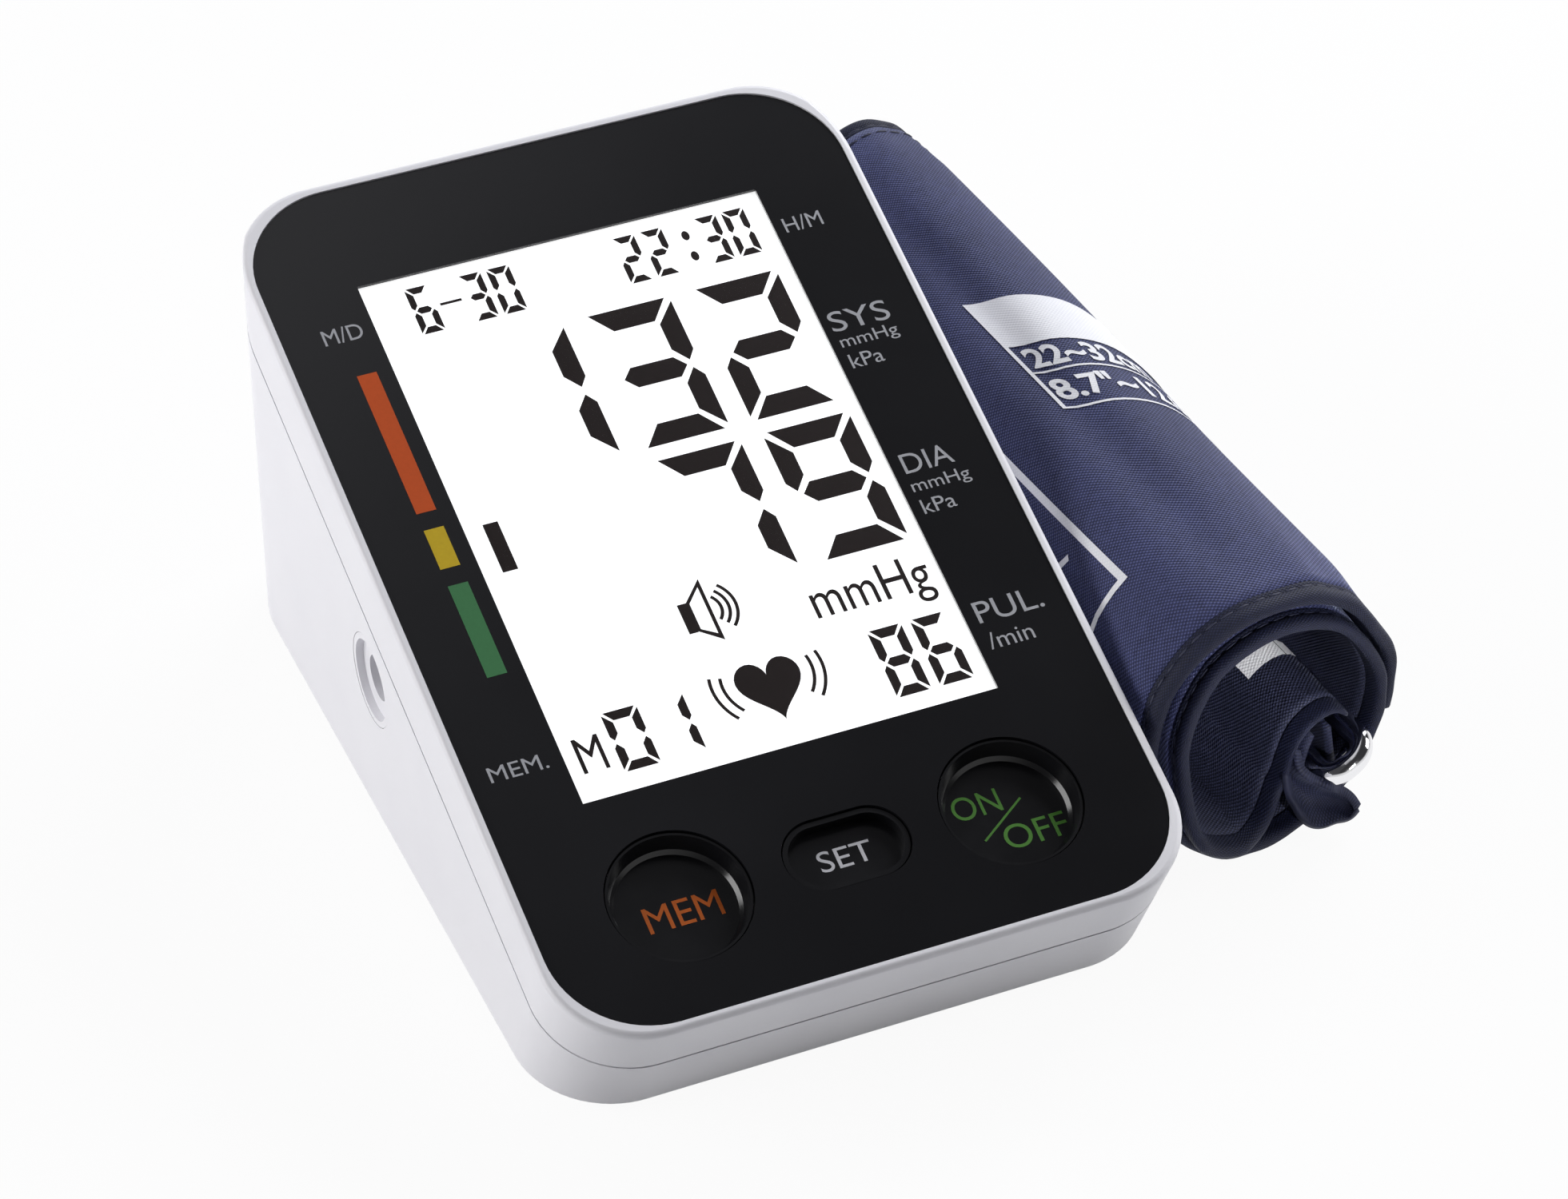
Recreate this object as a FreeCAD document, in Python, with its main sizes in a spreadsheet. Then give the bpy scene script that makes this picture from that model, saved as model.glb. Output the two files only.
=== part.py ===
# Desktop upper-arm blood pressure monitor with its rolled arm cuff.
# Millimetres, +Z up. Origin: on the table, under the middle of the whole set.
# The wedge monitor stands on the left, the rolled cuff lies beside it on the right.
import FreeCAD, Part
import Sketcher
import math
import os
from FreeCAD import Placement, Rotation, Vector

doc = FreeCAD.newDocument("pressure_monitor")
sheet = doc.addObject("Spreadsheet::Sheet", "Sizes")


# ---------------------------------------------------------------- driving sizes

class Size:
    """A number together with the spreadsheet expression that gives it."""

    def __init__(self, number, text):
        self.number = number
        self.text = text

    def combine(self, other, sign, result, swapped=False):
        other_text = other.text if isinstance(other, Size) else repr(float(other))
        left, right = (other_text, self.text) if swapped else (self.text, other_text)
        return Size(result, f"({left} {sign} {right})")

    def __add__(self, other):
        return self.combine(other, "+", self.number + number(other))

    def __radd__(self, other):
        return self.combine(other, "+", other + self.number, swapped=True)

    def __sub__(self, other):
        return self.combine(other, "-", self.number - number(other))

    def __rsub__(self, other):
        return self.combine(other, "-", other - self.number, swapped=True)

    def __mul__(self, other):
        return self.combine(other, "*", self.number * number(other))

    def __rmul__(self, other):
        return self.combine(other, "*", other * self.number, swapped=True)

    def __truediv__(self, other):
        return self.combine(other, "/", self.number / number(other))

    def __neg__(self):
        return Size(-self.number, f"(-{self.text})")

    def sin(self):
        return Size(math.sin(math.radians(self.number)), f"sin({self.text})")

    def cos(self):
        return Size(math.cos(math.radians(self.number)), f"cos({self.text})")

    def tan(self):
        return Size(math.tan(math.radians(self.number)), f"tan({self.text})")


def number(value):
    """The plain number of a Size, or the number itself."""
    return value.number if isinstance(value, Size) else float(value)


sheet_rows = []


def size(alias, value, meaning):
    """Writes one driving size to the sheet and returns it."""
    row = len(sheet_rows) + 1
    sheet_rows.append(alias)
    sheet.set(f"A{row}", meaning)
    sheet.set(f"B{row}", str(value))
    sheet.setAlias(f"B{row}", alias)
    return Size(float(value), f"Sizes.{alias}")


# Where the two things stand in the set
monitor_x = size("monitor_x", -25.6, "middle of the monitor, across")
monitor_y = size("monitor_y", -90.4, "lower edge of the face, front to back")
cuff_y = size("cuff_y", -65.4, "roll's front end, front to back")
cuff_turn = size("cuff_turn", 6.5, "roll's axis turned from front-to-back, degrees")

# Face of the monitor
face_tilt = size("face_tilt", 18.3, "face tilted towards the user, degrees")
face_height = size("face_height", 25.0, "lower edge of the face above the table")
panel_wide = size("panel_wide", 100.0, "front panel across")
back_reach = size("back_reach", 157.0, "back wall behind the face's lower edge")
back_over = size("back_over", 6.99, "back wall beyond the panel's upper edge")
panel_long = (back_reach - back_over) / face_tilt.cos()
panel_corner = size("panel_corner", 15.5, "front panel corner radius")
panel_thick = size("panel_thick", 2.0, "front panel thickness")
window_wide = size("window_wide", 68.0, "display window across")
window_low = size("window_low", 39.0, "display window above the panel's lower edge")
window_top = size("window_top", 19.2, "display window below the panel's upper edge")
window_long = panel_long - window_low - window_top
window_shift = size("window_shift", -0.9, "display window's middle from the panel's middle")

# The roll lies beside the monitor, so that it moves out with the monitor's side
cuff_beside = size("cuff_beside", 14.3, "roll's front end from the panel's side, across")
cuff_x = monitor_x + panel_wide / 2 + cuff_beside

# Case
rim = size("rim", 1.5, "case border around the panel")
rim_proud = size("rim_proud", 0.3, "case border above the panel")
rim_round = size("rim_round", 0.9, "rounding of the border's outer edge")
case_corner = size("case_corner", 15.0, "case corner radius round the face")
front_lean = size("front_lean", 6.8, "front wall leaning in towards the base, degrees")
rear_corner = size("rear_corner", 22.0, "upright rear corner radius")
base_round = size("base_round", 1.2, "rounding of the underside's edge")
wall = size("wall", 2.2, "case wall")
deck_thick = size("deck_thick", 2.0, "case deck under the panel")
seam_depth = size("seam_depth", 11.5, "seam between the case halves, below the face")
seam_gap = size("seam_gap", 0.5, "visible groove of the seam")
lip_rise = size("lip_rise", 1.6, "locating lip above the seam")
slack = size("slack", 0.1, "clearance between fitted pieces")
foot_rise = size("foot_rise", 1.0, "rubber feet below the case")

# Buttons
button_radius = size("button_radius", 11.3, "round button openings")
button_row = size("button_row", 19.8, "button row above the panel's lower edge")
bar_button_wide = panel_wide * 0.204
bar_button_high = size("bar_button_high", 12.4, "middle button opening up the face")
button_slack = size("button_slack", 0.25, "gap round each button")
button_sink = size("button_sink", 0.4, "button rims below the panel")
button_well = size("button_well", 4.0, "round buttons' floors below the panel's face")
bar_well = size("bar_well", 2.4, "middle button's floor below the panel's face")
cup_rim = size("cup_rim", 0.4, "button rims, wall thickness")
cup_lean = size("cup_lean", 0.65, "round buttons' walls leaning in towards their floors")
cup_round = size("cup_round", 0.6, "bevel where wall and floor meet")
button_flange = size("button_flange", 1.0, "retaining flange beyond the button")
button_travel = size("button_travel", 0.8, "how far each button is pressed")

# Electronics
board_depth = size("board_depth", 14.5, "top of the circuit board below the face")
board_thick = size("board_thick", 1.6, "circuit board thickness")
board_wide = panel_wide * 0.77
boss_inset = size("boss_inset", 3.0, "board bosses inside the board's sides")
boss_x = board_wide / 2 - boss_inset
button_apart = size("button_apart", 8.5, "round buttons' middles inside the board bosses")
button_pitch = boss_x - button_apart
board_low = size("board_low", 6.0, "circuit board's lower edge up the face")
board_top = size("board_top", 8.0, "circuit board's upper edge below the panel's")
board_high = panel_long - board_top
lens_thick = size("lens_thick", 0.5, "clear window thickness")
glass_thick = size("glass_thick", 2.2, "display glass thickness")
light_thick = size("light_thick", 3.0, "display light guide thickness")
glass_margin = size("glass_margin", 1.2, "display glass hidden beyond the window")

# Air system
pump_y = size("pump_y", 68.0, "pump axis behind the face's lower edge")
pump_z = size("pump_z", 15.7, "pump axis above the table")
motor_radius = size("motor_radius", 11.5, "pump motor radius")
motor_long = size("motor_long", 30.0, "pump motor length")
head_radius = size("head_radius", 12.2, "pump head radius")
head_long = size("head_long", 24.0, "pump head length")
nozzle_radius = size("nozzle_radius", 2.0, "air nozzles, outside")
socket_y = size("socket_y", 85.3, "air socket behind the face's lower edge")
socket_z = size("socket_z", 29.2, "air socket above the table")
socket_bore = size("socket_bore", 3.75, "air socket hole radius")
socket_dish = size("socket_dish", 7.7, "dish round the air socket, radius")

# Batteries
cell_radius = size("cell_radius", 7.1, "battery cell radius")
cell_long = size("cell_long", 49.2, "battery cell body length")
cell_count = 4
cell_pitch = size("cell_pitch", 14.5, "battery cells, middle to middle")
bay_front = size("bay_front", 92.6, "battery bay's front wall, inside")
cell_spare = size("cell_spare", 3.9, "battery bay beyond the cells, at each end")
bay_half = cell_long / 2 + cell_spare
bay_wall = size("bay_wall", 1.6, "battery bay wall")
cover_thick = size("cover_thick", 2.1, "battery cover thickness")

# Cuff
cuff_wide = size("cuff_wide", 146.0, "cuff across its width, along the roll")
cloth_thick = size("cloth_thick", 0.9, "each cloth layer")
bladder_thick = size("bladder_thick", 0.8, "air bladder")
layer_gap = size("layer_gap", 0.3, "air between the cuff's layers")
binding_wide = size("binding_wide", 3.5, "edge binding along both cuff edges")
binding_thick = size("binding_thick", 3.4, "edge binding thickness")
ring_wire = size("ring_wire", 2.0, "metal ring's wire radius")
ring_reach = size("ring_reach", 8.0, "ring's two long sides apart")


# ---------------------------------------------------------------- building tools

def bind(feature, prop, value):
    """Sets a property and, if it comes from the sheet, binds it to its expression."""
    if isinstance(value, Size):
        feature.setExpression(prop, value.text)


def place(feature, x, y, z, axis=Vector(0, 0, 1), angle=0.0):
    """Puts a feature at x, y, z turned by angle about axis, bound to the sheet."""
    spot = Vector(number(x), number(y), number(z))
    feature.Placement = Placement(spot, Rotation(axis, number(angle)))
    bind(feature, "Placement.Base.x", x)
    bind(feature, "Placement.Base.y", y)
    bind(feature, "Placement.Base.z", z)
    bind(feature, "Placement.Rotation.Angle", angle)
    return feature


def on_base(x, y, z):
    """A point of the monitor's upright frame, in the set's frame."""
    return monitor_x + x, monitor_y + y, z


def on_face(x, up, out):
    """A point of the tilted face: across, up the face, out of it; in the set's frame."""
    return (monitor_x + x,
            monitor_y + up * face_tilt.cos() - out * face_tilt.sin(),
            face_height + up * face_tilt.sin() + out * face_tilt.cos())


ACROSS = Vector(1, 0, 0)


def tilt_to_face(feature):
    """Seats a feature that was modelled flat onto the tilted face."""
    return place(feature, *on_face(0.0, 0.0, 0.0), ACROSS, face_tilt)


def stand_on_base(feature):
    """Seats a feature that was modelled upright into the monitor."""
    return place(feature, *on_base(0.0, 0.0, 0.0))


def box(x0, x1, y0, y1, z0, z1, face=False):
    """A block between two corners, upright or, with face, lying on the tilted face."""
    block = doc.addObject("Part::Box", "block")
    for prop, low, high in (("Length", x0, x1), ("Width", y0, y1), ("Height", z0, z1)):
        span = high - low
        setattr(block, prop, number(span))
        bind(block, prop, span)
    if face:
        return place(block, *on_face(x0, y0, z0), ACROSS, face_tilt)
    return place(block, *on_base(x0, y0, z0))


def cylinder(x, y, z, radius, long, along="Z", face=False):
    """A round bar from x, y, z along an axis, upright or, with face, out of the face."""
    bar = doc.addObject("Part::Cylinder", "bar")
    bar.Radius = number(radius)
    bar.Height = number(long)
    bind(bar, "Radius", radius)
    bind(bar, "Height", long)
    if face:
        return place(bar, *on_face(x, y, z), ACROSS, face_tilt)
    turn = {"X": (Vector(0, 1, 0), 90.0), "Y": (ACROSS, -90.0), "Z": (Vector(0, 0, 1), 0.0)}
    return place(bar, *on_base(x, y, z), *turn[along])


def fuse(name, *shapes):
    joined = doc.addObject("Part::MultiFuse", name)
    joined.Shapes = list(shapes)
    return joined


def cut(name, base, *tools):
    taken = tools[0] if len(tools) == 1 else fuse(name + "_tools", *tools)
    rest = doc.addObject("Part::Cut", name)
    rest.Base = base
    rest.Tool = taken
    return rest


def common(name, *shapes):
    shared = doc.addObject("Part::MultiCommon", name)
    shared.Shapes = list(shapes)
    return shared


def new_body(name):
    return doc.addObject("PartDesign::Body", name)


def new_sketch(body, name, plane="XY_Plane", height=0.0):
    """A sketch on one of the body's own origin planes, raised by height."""
    drawing = body.newObject("Sketcher::SketchObject", name)
    flat = [f for f in body.Origin.OriginFeatures if f.Role == plane][0]
    drawing.AttachmentSupport = [(flat, "")]
    drawing.MapMode = "FlatFace"
    drawing.AttachmentOffset = Placement(Vector(0, 0, number(height)), Rotation())
    bind(drawing, "AttachmentOffset.Base.z", height)
    return drawing


def dimension(drawing, kind, geometry, point, value):
    """Holds one point of a sketch at a distance from the sketch's origin."""
    if not isinstance(value, Size) and value == 0:
        axis = -2 if kind == "DistanceX" else -1
        drawing.addConstraint(Sketcher.Constraint("PointOnObject", geometry, point, axis))
        return
    index = drawing.addConstraint(
        Sketcher.Constraint(kind, -1, 1, geometry, point, number(value)))
    bind(drawing, f"Constraints[{index}]", value)


def draw_polygon(drawing, points):
    """Closed outline through points, each held by its two distances."""
    spots = [Vector(number(x), number(y), 0) for x, y in points]
    count = len(spots)
    for i in range(count):
        drawing.addGeometry(Part.LineSegment(spots[i], spots[(i + 1) % count]), False)
    for i in range(count):
        drawing.addConstraint(Sketcher.Constraint("Coincident", i, 2, (i + 1) % count, 1))
    for i, (x, y) in enumerate(points):
        dimension(drawing, "DistanceX", i, 1, x)
        dimension(drawing, "DistanceY", i, 1, y)


def draw_round_rectangle(drawing, x0, x1, y0, y1, radius):
    """Rectangle with four equal round corners, held by its four sides and its radius."""
    left, right, low, high, r = (number(v) for v in (x0, x1, y0, y1, radius))
    out = Vector(0, 0, 1)
    sides = (((left + r, low), (right - r, low)), ((right, low + r), (right, high - r)),
             ((right - r, high), (left + r, high)), ((left, high - r), (left, low + r)))
    centres = ((right - r, low + r, -90), (right - r, high - r, 0),
               (left + r, high - r, 90), (left + r, low + r, 180))
    for start, end in sides:
        drawing.addGeometry(Part.LineSegment(Vector(*start, 0), Vector(*end, 0)), False)
    for x, y, start in centres:
        circle = Part.Circle(Vector(x, y, 0), out, r)
        arc = Part.ArcOfCircle(circle, math.radians(start), math.radians(start + 90))
        drawing.addGeometry(arc, False)
    for i in range(4):
        drawing.addConstraint(Sketcher.Constraint("Tangent", i, 2, 4 + i, 1))
        drawing.addConstraint(Sketcher.Constraint("Tangent", 4 + i, 2, (i + 1) % 4, 1))
    for i in (5, 6, 7):
        drawing.addConstraint(Sketcher.Constraint("Equal", 4, i))
    for i, kind in enumerate(("Horizontal", "Vertical", "Horizontal", "Vertical")):
        drawing.addConstraint(Sketcher.Constraint(kind, i))
    dimension(drawing, "DistanceY", 0, 1, y0)
    dimension(drawing, "DistanceX", 1, 1, x1)
    dimension(drawing, "DistanceY", 2, 1, y1)
    dimension(drawing, "DistanceX", 3, 1, x0)
    index = drawing.addConstraint(Sketcher.Constraint("Radius", 4, number(radius)))
    bind(drawing, f"Constraints[{index}]", radius)


def pad(body, drawing, long):
    raised = body.newObject("PartDesign::Pad", "Pad")
    raised.Profile = drawing
    raised.Length = number(long)
    bind(raised, "Length", long)
    return raised


def round_plate(name, x0, x1, y0, y1, radius, z0, z1):
    """Flat plate with round corners, from height z0 to z1."""
    body = new_body(name)
    outline = new_sketch(body, name + "_outline", height=z0)
    draw_round_rectangle(outline, x0, x1, y0, y1, radius)
    pad(body, outline, z1 - z0)
    return body


def turned(name, points):
    """Piece turned on a lathe about the upright axis, from its half outline."""
    body = new_body(name)
    outline = new_sketch(body, name + "_outline", plane="XZ_Plane")
    draw_polygon(outline, points)
    spin = body.newObject("PartDesign::Revolution", "Revolution")
    spin.Profile = outline
    spin.ReferenceAxis = (outline, ["V_Axis"])
    spin.Angle = 360.0
    return body


def rounded(name, base, radius, wanted):
    """Rounds the edges of base whose centre of mass passes the wanted test."""
    doc.recompute()
    smooth = doc.addObject("Part::Fillet", name)
    smooth.Base = base
    edges = [(i + 1, number(radius), number(radius))
             for i, edge in enumerate(base.Shape.Edges) if wanted(edge)]
    smooth.Edges = edges
    return smooth


nodes = []


def node(name, feature):
    """Gives a finished sub-part its label and puts it on the export list."""
    feature.Label = name
    nodes.append(feature)
    return feature


# ---------------------------------------------------------------- case

half_case = panel_wide / 2 + rim
face_top = panel_long + rim
deck_top = -panel_thick
deck_under = -(panel_thick + deck_thick)
floor_under = foot_rise
floor_thick = wall
floor_top = floor_under + floor_thick
DEEP = 100.0
TALL = 130.0


def case_core(name, inset, top, bottom):
    """The wedge, all its walls moved in by inset, between the face level top and bottom."""
    prism = new_body(name + "_leaning")
    outline = new_sketch(prism, name + "_outline", height=top)
    front = inset - rim - top * front_lean.tan()
    draw_round_rectangle(outline, inset - half_case, half_case - inset,
                         front, face_top - inset, case_corner - inset)
    slanting = pad(prism, outline, Size(DEEP, repr(DEEP)))
    slanting.UseCustomVector = True
    slanting.AlongSketchNormal = True
    slanting.Direction = Vector(0, number(front_lean.tan()), -1)
    bind(slanting, "Direction.y", front_lean.tan())
    tilt_to_face(prism)
    upright = round_plate(name + "_upright", inset - half_case, half_case - inset,
                          Size(-60.0, "-60"), back_reach - inset, rear_corner - inset,
                          bottom, Size(TALL, repr(TALL)))
    stand_on_base(upright)
    return common(name, prism, upright)


def at_level(level):
    """Test for edges that lie in the plane parallel to the face at this level."""
    normal = Vector(0, -math.sin(math.radians(face_tilt.number)),
                    math.cos(math.radians(face_tilt.number)))
    foot = Vector(*(number(v) for v in on_face(0.0, 0.0, level)))

    def test(edge):
        return all(abs((v.Point - foot).dot(normal)) < 0.01 for v in edge.Vertexes)
    return test


def at_height(height):
    """Test for edges that lie at this height above the table."""
    def test(edge):
        return all(abs(v.Z - number(height)) < 0.01 for v in edge.Vertexes)
    return test


block_form = case_core("case_form", Size(0.0, "0"), rim_proud, floor_under)
soft_rim = rounded("case_rim", block_form, rim_round, at_level(rim_proud))
case_form = rounded("case_outside", soft_rim, base_round, at_height(floor_under))
hollow = case_core("case_hollow", wall, deck_under, floor_top)
rebate_form = case_core("case_rebate", wall / 2, lip_rise + slack - seam_depth, floor_top)
lip_form = case_core("case_lip", wall / 2 + slack, lip_rise - seam_depth, floor_top)
WIDE = 80.0
LONG = 220.0


def face_slab(low, high):
    """Everything between two levels parallel to the face."""
    return box(Size(-WIDE, repr(-WIDE)), WIDE, Size(-30.0, "-30"), LONG, low, high, face=True)


# Screw posts: the lower ones stand on the floor, the upper ones hang from the deck
post_inset = size("post_inset", 6.0, "case screws inside the panel's sides")
post_x = panel_wide / 2 - post_inset
post_front = size("post_front", 24.0, "front case screws behind the face's lower edge")
post_back = size("post_back", 17.0, "rear case screws in front of the back wall")
post_rear = back_reach - post_back
post_radius = size("post_radius", 4.0, "screw posts")
post_join = size("post_join", 15.0, "where upper and lower posts meet, above the table")
screw_radius = size("screw_radius", 1.45, "case screw shank radius")
screw_head = size("screw_head", 2.7, "case screw head radius")
screw_long = size("screw_long", 14.0, "case screw length under its head")
head_seat = size("head_seat", 9.0, "case screw head's seat above the table")
foot_radius = size("foot_radius", 5.0, "rubber foot radius")
foot_sink = size("foot_sink", 0.8, "rubber foot let into the floor")
posts = [(side, y) for y in (post_front, post_rear) for side in (-1, 1)]

upper_posts = [cylinder(post_x * side, y, post_join + slack, post_radius, TALL)
               for side, y in posts]
upper_pilots = [cylinder(post_x * side, y, post_join, screw_radius + slack / 2,
                         head_seat + screw_long + 1 - post_join) for side, y in posts]

# Board bosses hang from the deck, clear of buttons and display
boss_radius = size("boss_radius", 2.7, "board bosses")
boss_low = size("boss_low", 32.6, "lower board bosses up the face")
boss_high = board_high - 3.5
board_screw = size("board_screw", 1.0, "board screw shank radius")
bosses = [(side, up) for up in (boss_low, boss_high) for side in (-1, 1)]
boss_bars = [cylinder(boss_x * side, up, -board_depth, boss_radius,
                      board_depth + deck_under + 0.2, face=True) for side, up in bosses]
boss_pilots = [cylinder(boss_x * side, up, -board_depth - 1, board_screw + slack / 2,
                        8.0, face=True) for side, up in bosses]

window_left = window_shift - window_wide / 2
window_right = window_shift + window_wide / 2
window_high = window_low + window_long


def face_block(x0, x1, y0, y1, z0, z1):
    return box(x0, x1, y0, y1, z0, z1, face=True)


def window_block(margin_x, margin_y, low, high):
    """A block over the display window, wider by the margins, between two face levels."""
    return face_block(window_left - margin_x, window_right + margin_x,
                      window_low - margin_y, window_high + margin_y, low, high)


panel_recess = tilt_to_face(round_plate(
    "panel_recess", -panel_wide / 2 - slack, panel_wide / 2 + slack, -slack,
    panel_long + slack, panel_corner + slack, deck_top, Size(10.0, "10")))


def bar_button_plate(name, grow, low, high):
    """The middle button's long round-ended outline, grown by a margin."""
    half = bar_button_high / 2 + grow
    return tilt_to_face(round_plate(
        name, -bar_button_wide / 2 - grow, bar_button_wide / 2 + grow,
        button_row - half, button_row + half, half - 0.01, low, high))


def button_holes(name, low, high):
    """The three button openings between two face levels."""
    return [cylinder(-button_pitch, button_row, low, button_radius, high - low, face=True),
            cylinder(button_pitch, button_row, low, button_radius, high - low, face=True),
            bar_button_plate(name, Size(0.0, "0"), low, high)]


deck_window = window_block(glass_margin + 0.4, glass_margin + 0.4,
                           deck_under - 1, deck_top + 1)
hollow_with_rebate = fuse("case_inside", hollow, rebate_form)
roof_shell = cut("roof_shell",
                 common("roof_block", case_form,
                        face_slab(seam_gap / 2 - seam_depth, Size(20.0, "20"))),
                 hollow_with_rebate, panel_recess)
roof_fittings = common("roof_fittings", hollow, fuse("roof_bars", *upper_posts, *boss_bars))
roof_holes = button_holes("roof_bar_hole", deck_under - 1, deck_top + 1)
node("upper_case", cut("upper_case_body", fuse("roof_solid", roof_shell, roof_fittings),
                       deck_window, *roof_holes, *upper_pilots, *boss_pilots))

# Lower case: floor, walls, lip, battery bay, posts, saddles and pedestals
bay_back = bay_front + cell_pitch * (cell_count - 1) + cell_radius * 2 + 0.3
cover_top = floor_under + cover_thick
cell_z = cover_top + 0.3 + cell_radius
bay_top = cell_z + cell_radius + 0.4
cover_half = bay_half + bay_wall
tongue = size("tongue", 1.6, "battery cover tongues beyond the cover")
tongue_low = size("tongue_low", 0.8, "floor lip under the cover tongues")

lower_posts = [cylinder(post_x * side, y, floor_top - 0.1, post_radius,
                        post_join - floor_top + 0.1) for side, y in posts]
head_wells = [cylinder(post_x * side, y, Size(0.0, "0"), screw_head + slack, head_seat)
              for side, y in posts]
shank_holes = [cylinder(post_x * side, y, Size(0.0, "0"), screw_radius + slack, post_join + 1)
               for side, y in posts]
foot_wells = [cylinder(post_x * side, y, Size(0.0, "0"), foot_radius + slack,
                       foot_rise + foot_sink) for side, y in posts]

bay_seat = size("bay_seat", 1.2, "battery bay walls beyond the cover's opening")
bay_outside = box(-cover_half - bay_seat, cover_half + bay_seat, bay_front - bay_wall,
                  bay_back + bay_wall, floor_top - 0.1, bay_top + bay_wall)
bay_inside = box(-bay_half, bay_half, bay_front, bay_back, Size(0.0, "0"), bay_top)
cover_slot = box(-cover_half - slack, cover_half + slack, bay_front - bay_wall - slack,
                 back_reach + 5, Size(0.0, "0"), cover_top + slack)
tongue_slot = box(-cover_half - tongue - slack, cover_half + tongue + slack,
                  bay_front - bay_wall - slack, back_reach + 5,
                  floor_under + tongue_low, cover_top - 0.4)

motor_x = size("motor_x", 12.0, "where pump head and motor meet, from the middle")
saddle_wide = size("saddle_wide", 3.0, "pump saddles")
saddle_gap = size("saddle_gap", 0.3, "pump above its saddles")
saddle_places = ((motor_x + 4, motor_radius), (motor_x + motor_long - 8, motor_radius),
                 (motor_x - head_long / 2, head_radius))
saddles = [box(x, x + saddle_wide, pump_y - 9, pump_y + 9, floor_top - 0.1, pump_z - 3)
           for x, _ in saddle_places]
saddle_cuts = [cylinder(x - 1, pump_y, pump_z, radius + saddle_gap, saddle_wide + 2, "X")
               for x, radius in saddle_places]

hub_inset = size("hub_inset", 13.5, "air manifold inside the case's left side")
hub_left = hub_inset - half_case
hub_wide = size("hub_wide", 10.0, "air manifold across")
hub_front = size("hub_front", 64.0, "air manifold's front face")
hub_long = size("hub_long", 26.0, "air manifold front to back")
hub_high = size("hub_high", 10.0, "air manifold's low part, height")
hub_low = pump_z - hub_high / 2
pedestal = box(hub_left + 2, hub_left + hub_wide - 2, hub_front + 6, hub_front + hub_long - 2,
               floor_top - 0.1, hub_low - 0.2)

speaker_x = size("speaker_x", 10.0, "speaker from the middle")
speaker_y = size("speaker_y", 36.0, "speaker behind the face's lower edge")
speaker_radius = size("speaker_radius", 14.0, "speaker radius")
speaker_high = size("speaker_high", 5.0, "speaker depth")
grille_radius = size("grille_radius", 1.1, "speaker grille holes")
grille_ring = size("grille_ring", 6.0, "speaker grille holes from their middle one")
speaker_collar = cut("speaker_collar",
                     cylinder(speaker_x, speaker_y, floor_top - 0.1,
                              speaker_radius + 1.6, Size(4.0, "4")),
                     cylinder(speaker_x, speaker_y, floor_top - 0.2,
                              speaker_radius + slack * 2, Size(6.0, "6")))
grille_places = [(0.0, 0.0)] + [(math.cos(math.radians(60 * i)), math.sin(math.radians(60 * i)))
                                for i in range(6)]
grille_holes = [cylinder(speaker_x + grille_ring * gx, speaker_y + grille_ring * gy,
                         Size(0.0, "0"), grille_radius, floor_top + 1)
                for gx, gy in grille_places]

jack_x = size("jack_x", 20.0, "power socket from the middle")
jack_z = size("jack_z", 30.0, "power socket above the table")
jack_radius = size("jack_radius", 4.0, "power socket barrel radius")
jack_long = size("jack_long", 14.0, "power socket body, front to back")
jack_half = size("jack_half", 5.2, "power socket body, half its width")
jack_shelf = box(jack_x - jack_half, jack_x + jack_half, back_reach - wall - jack_long + 1,
                 back_reach - wall + 0.2, bay_top + bay_wall - 0.1,
                 jack_z - jack_half - 0.2)
jack_hole = cylinder(jack_x, back_reach - wall - 1, jack_z, jack_radius + slack,
                     Size(8.0, "8"), "Y")
socket_hole = cylinder(-half_case - 1, socket_y, socket_z, socket_dish + slack,
                       wall + 3, "X")

tub_shell = cut("tub_shell",
                common("tub_block", case_form, face_slab(-DEEP, -seam_depth - seam_gap / 2)),
                hollow)
tub_lip = cut("tub_lip",
              common("tub_lip_block", lip_form,
                     face_slab(-seam_depth - seam_gap / 2 - 1.5, lip_rise - seam_depth)),
              case_core("tub_lip_inside", wall, lip_rise - seam_depth + 1, floor_top))
tub_saddles = cut("tub_saddles", fuse("tub_saddle_blocks", *saddles), *saddle_cuts)
tub_fittings = common("tub_fittings", fuse("tub_bars", *lower_posts, bay_outside, tub_saddles,
                                           pedestal, speaker_collar, jack_shelf),
                      case_core("tub_inside", wall - 0.1, Size(0.0, "0"), floor_under + 1))
node("lower_case", cut("lower_case_body", fuse("tub_solid", tub_shell, tub_lip, tub_fittings),
                       bay_inside, cover_slot, tongue_slot, jack_hole, socket_hole,
                       *head_wells, *shank_holes, *foot_wells, *grille_holes))

# Battery cover: plate with side tongues, finger grooves in its underside
cover_front = bay_front - bay_wall
groove_wide = size("groove_wide", 16.0, "finger grooves across")
cover_plate = box(-cover_half, cover_half, cover_front, back_reach, floor_under, cover_top)
cover_tongues = box(-cover_half - tongue, cover_half + tongue, cover_front,
                    back_reach - wall - 0.4, floor_under + tongue_low + slack,
                    cover_top - 0.4 - slack)
grooves = [box(-groove_wide / 2, groove_wide / 2, cover_front + 8 + 2.2 * i,
               cover_front + 9.1 + 2.2 * i, Size(0.0, "0"), floor_under + 0.5)
           for i in range(5)]
node("battery_cover", cut("battery_cover_body", fuse("cover_solid", cover_plate, cover_tongues),
                          *grooves))

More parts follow.
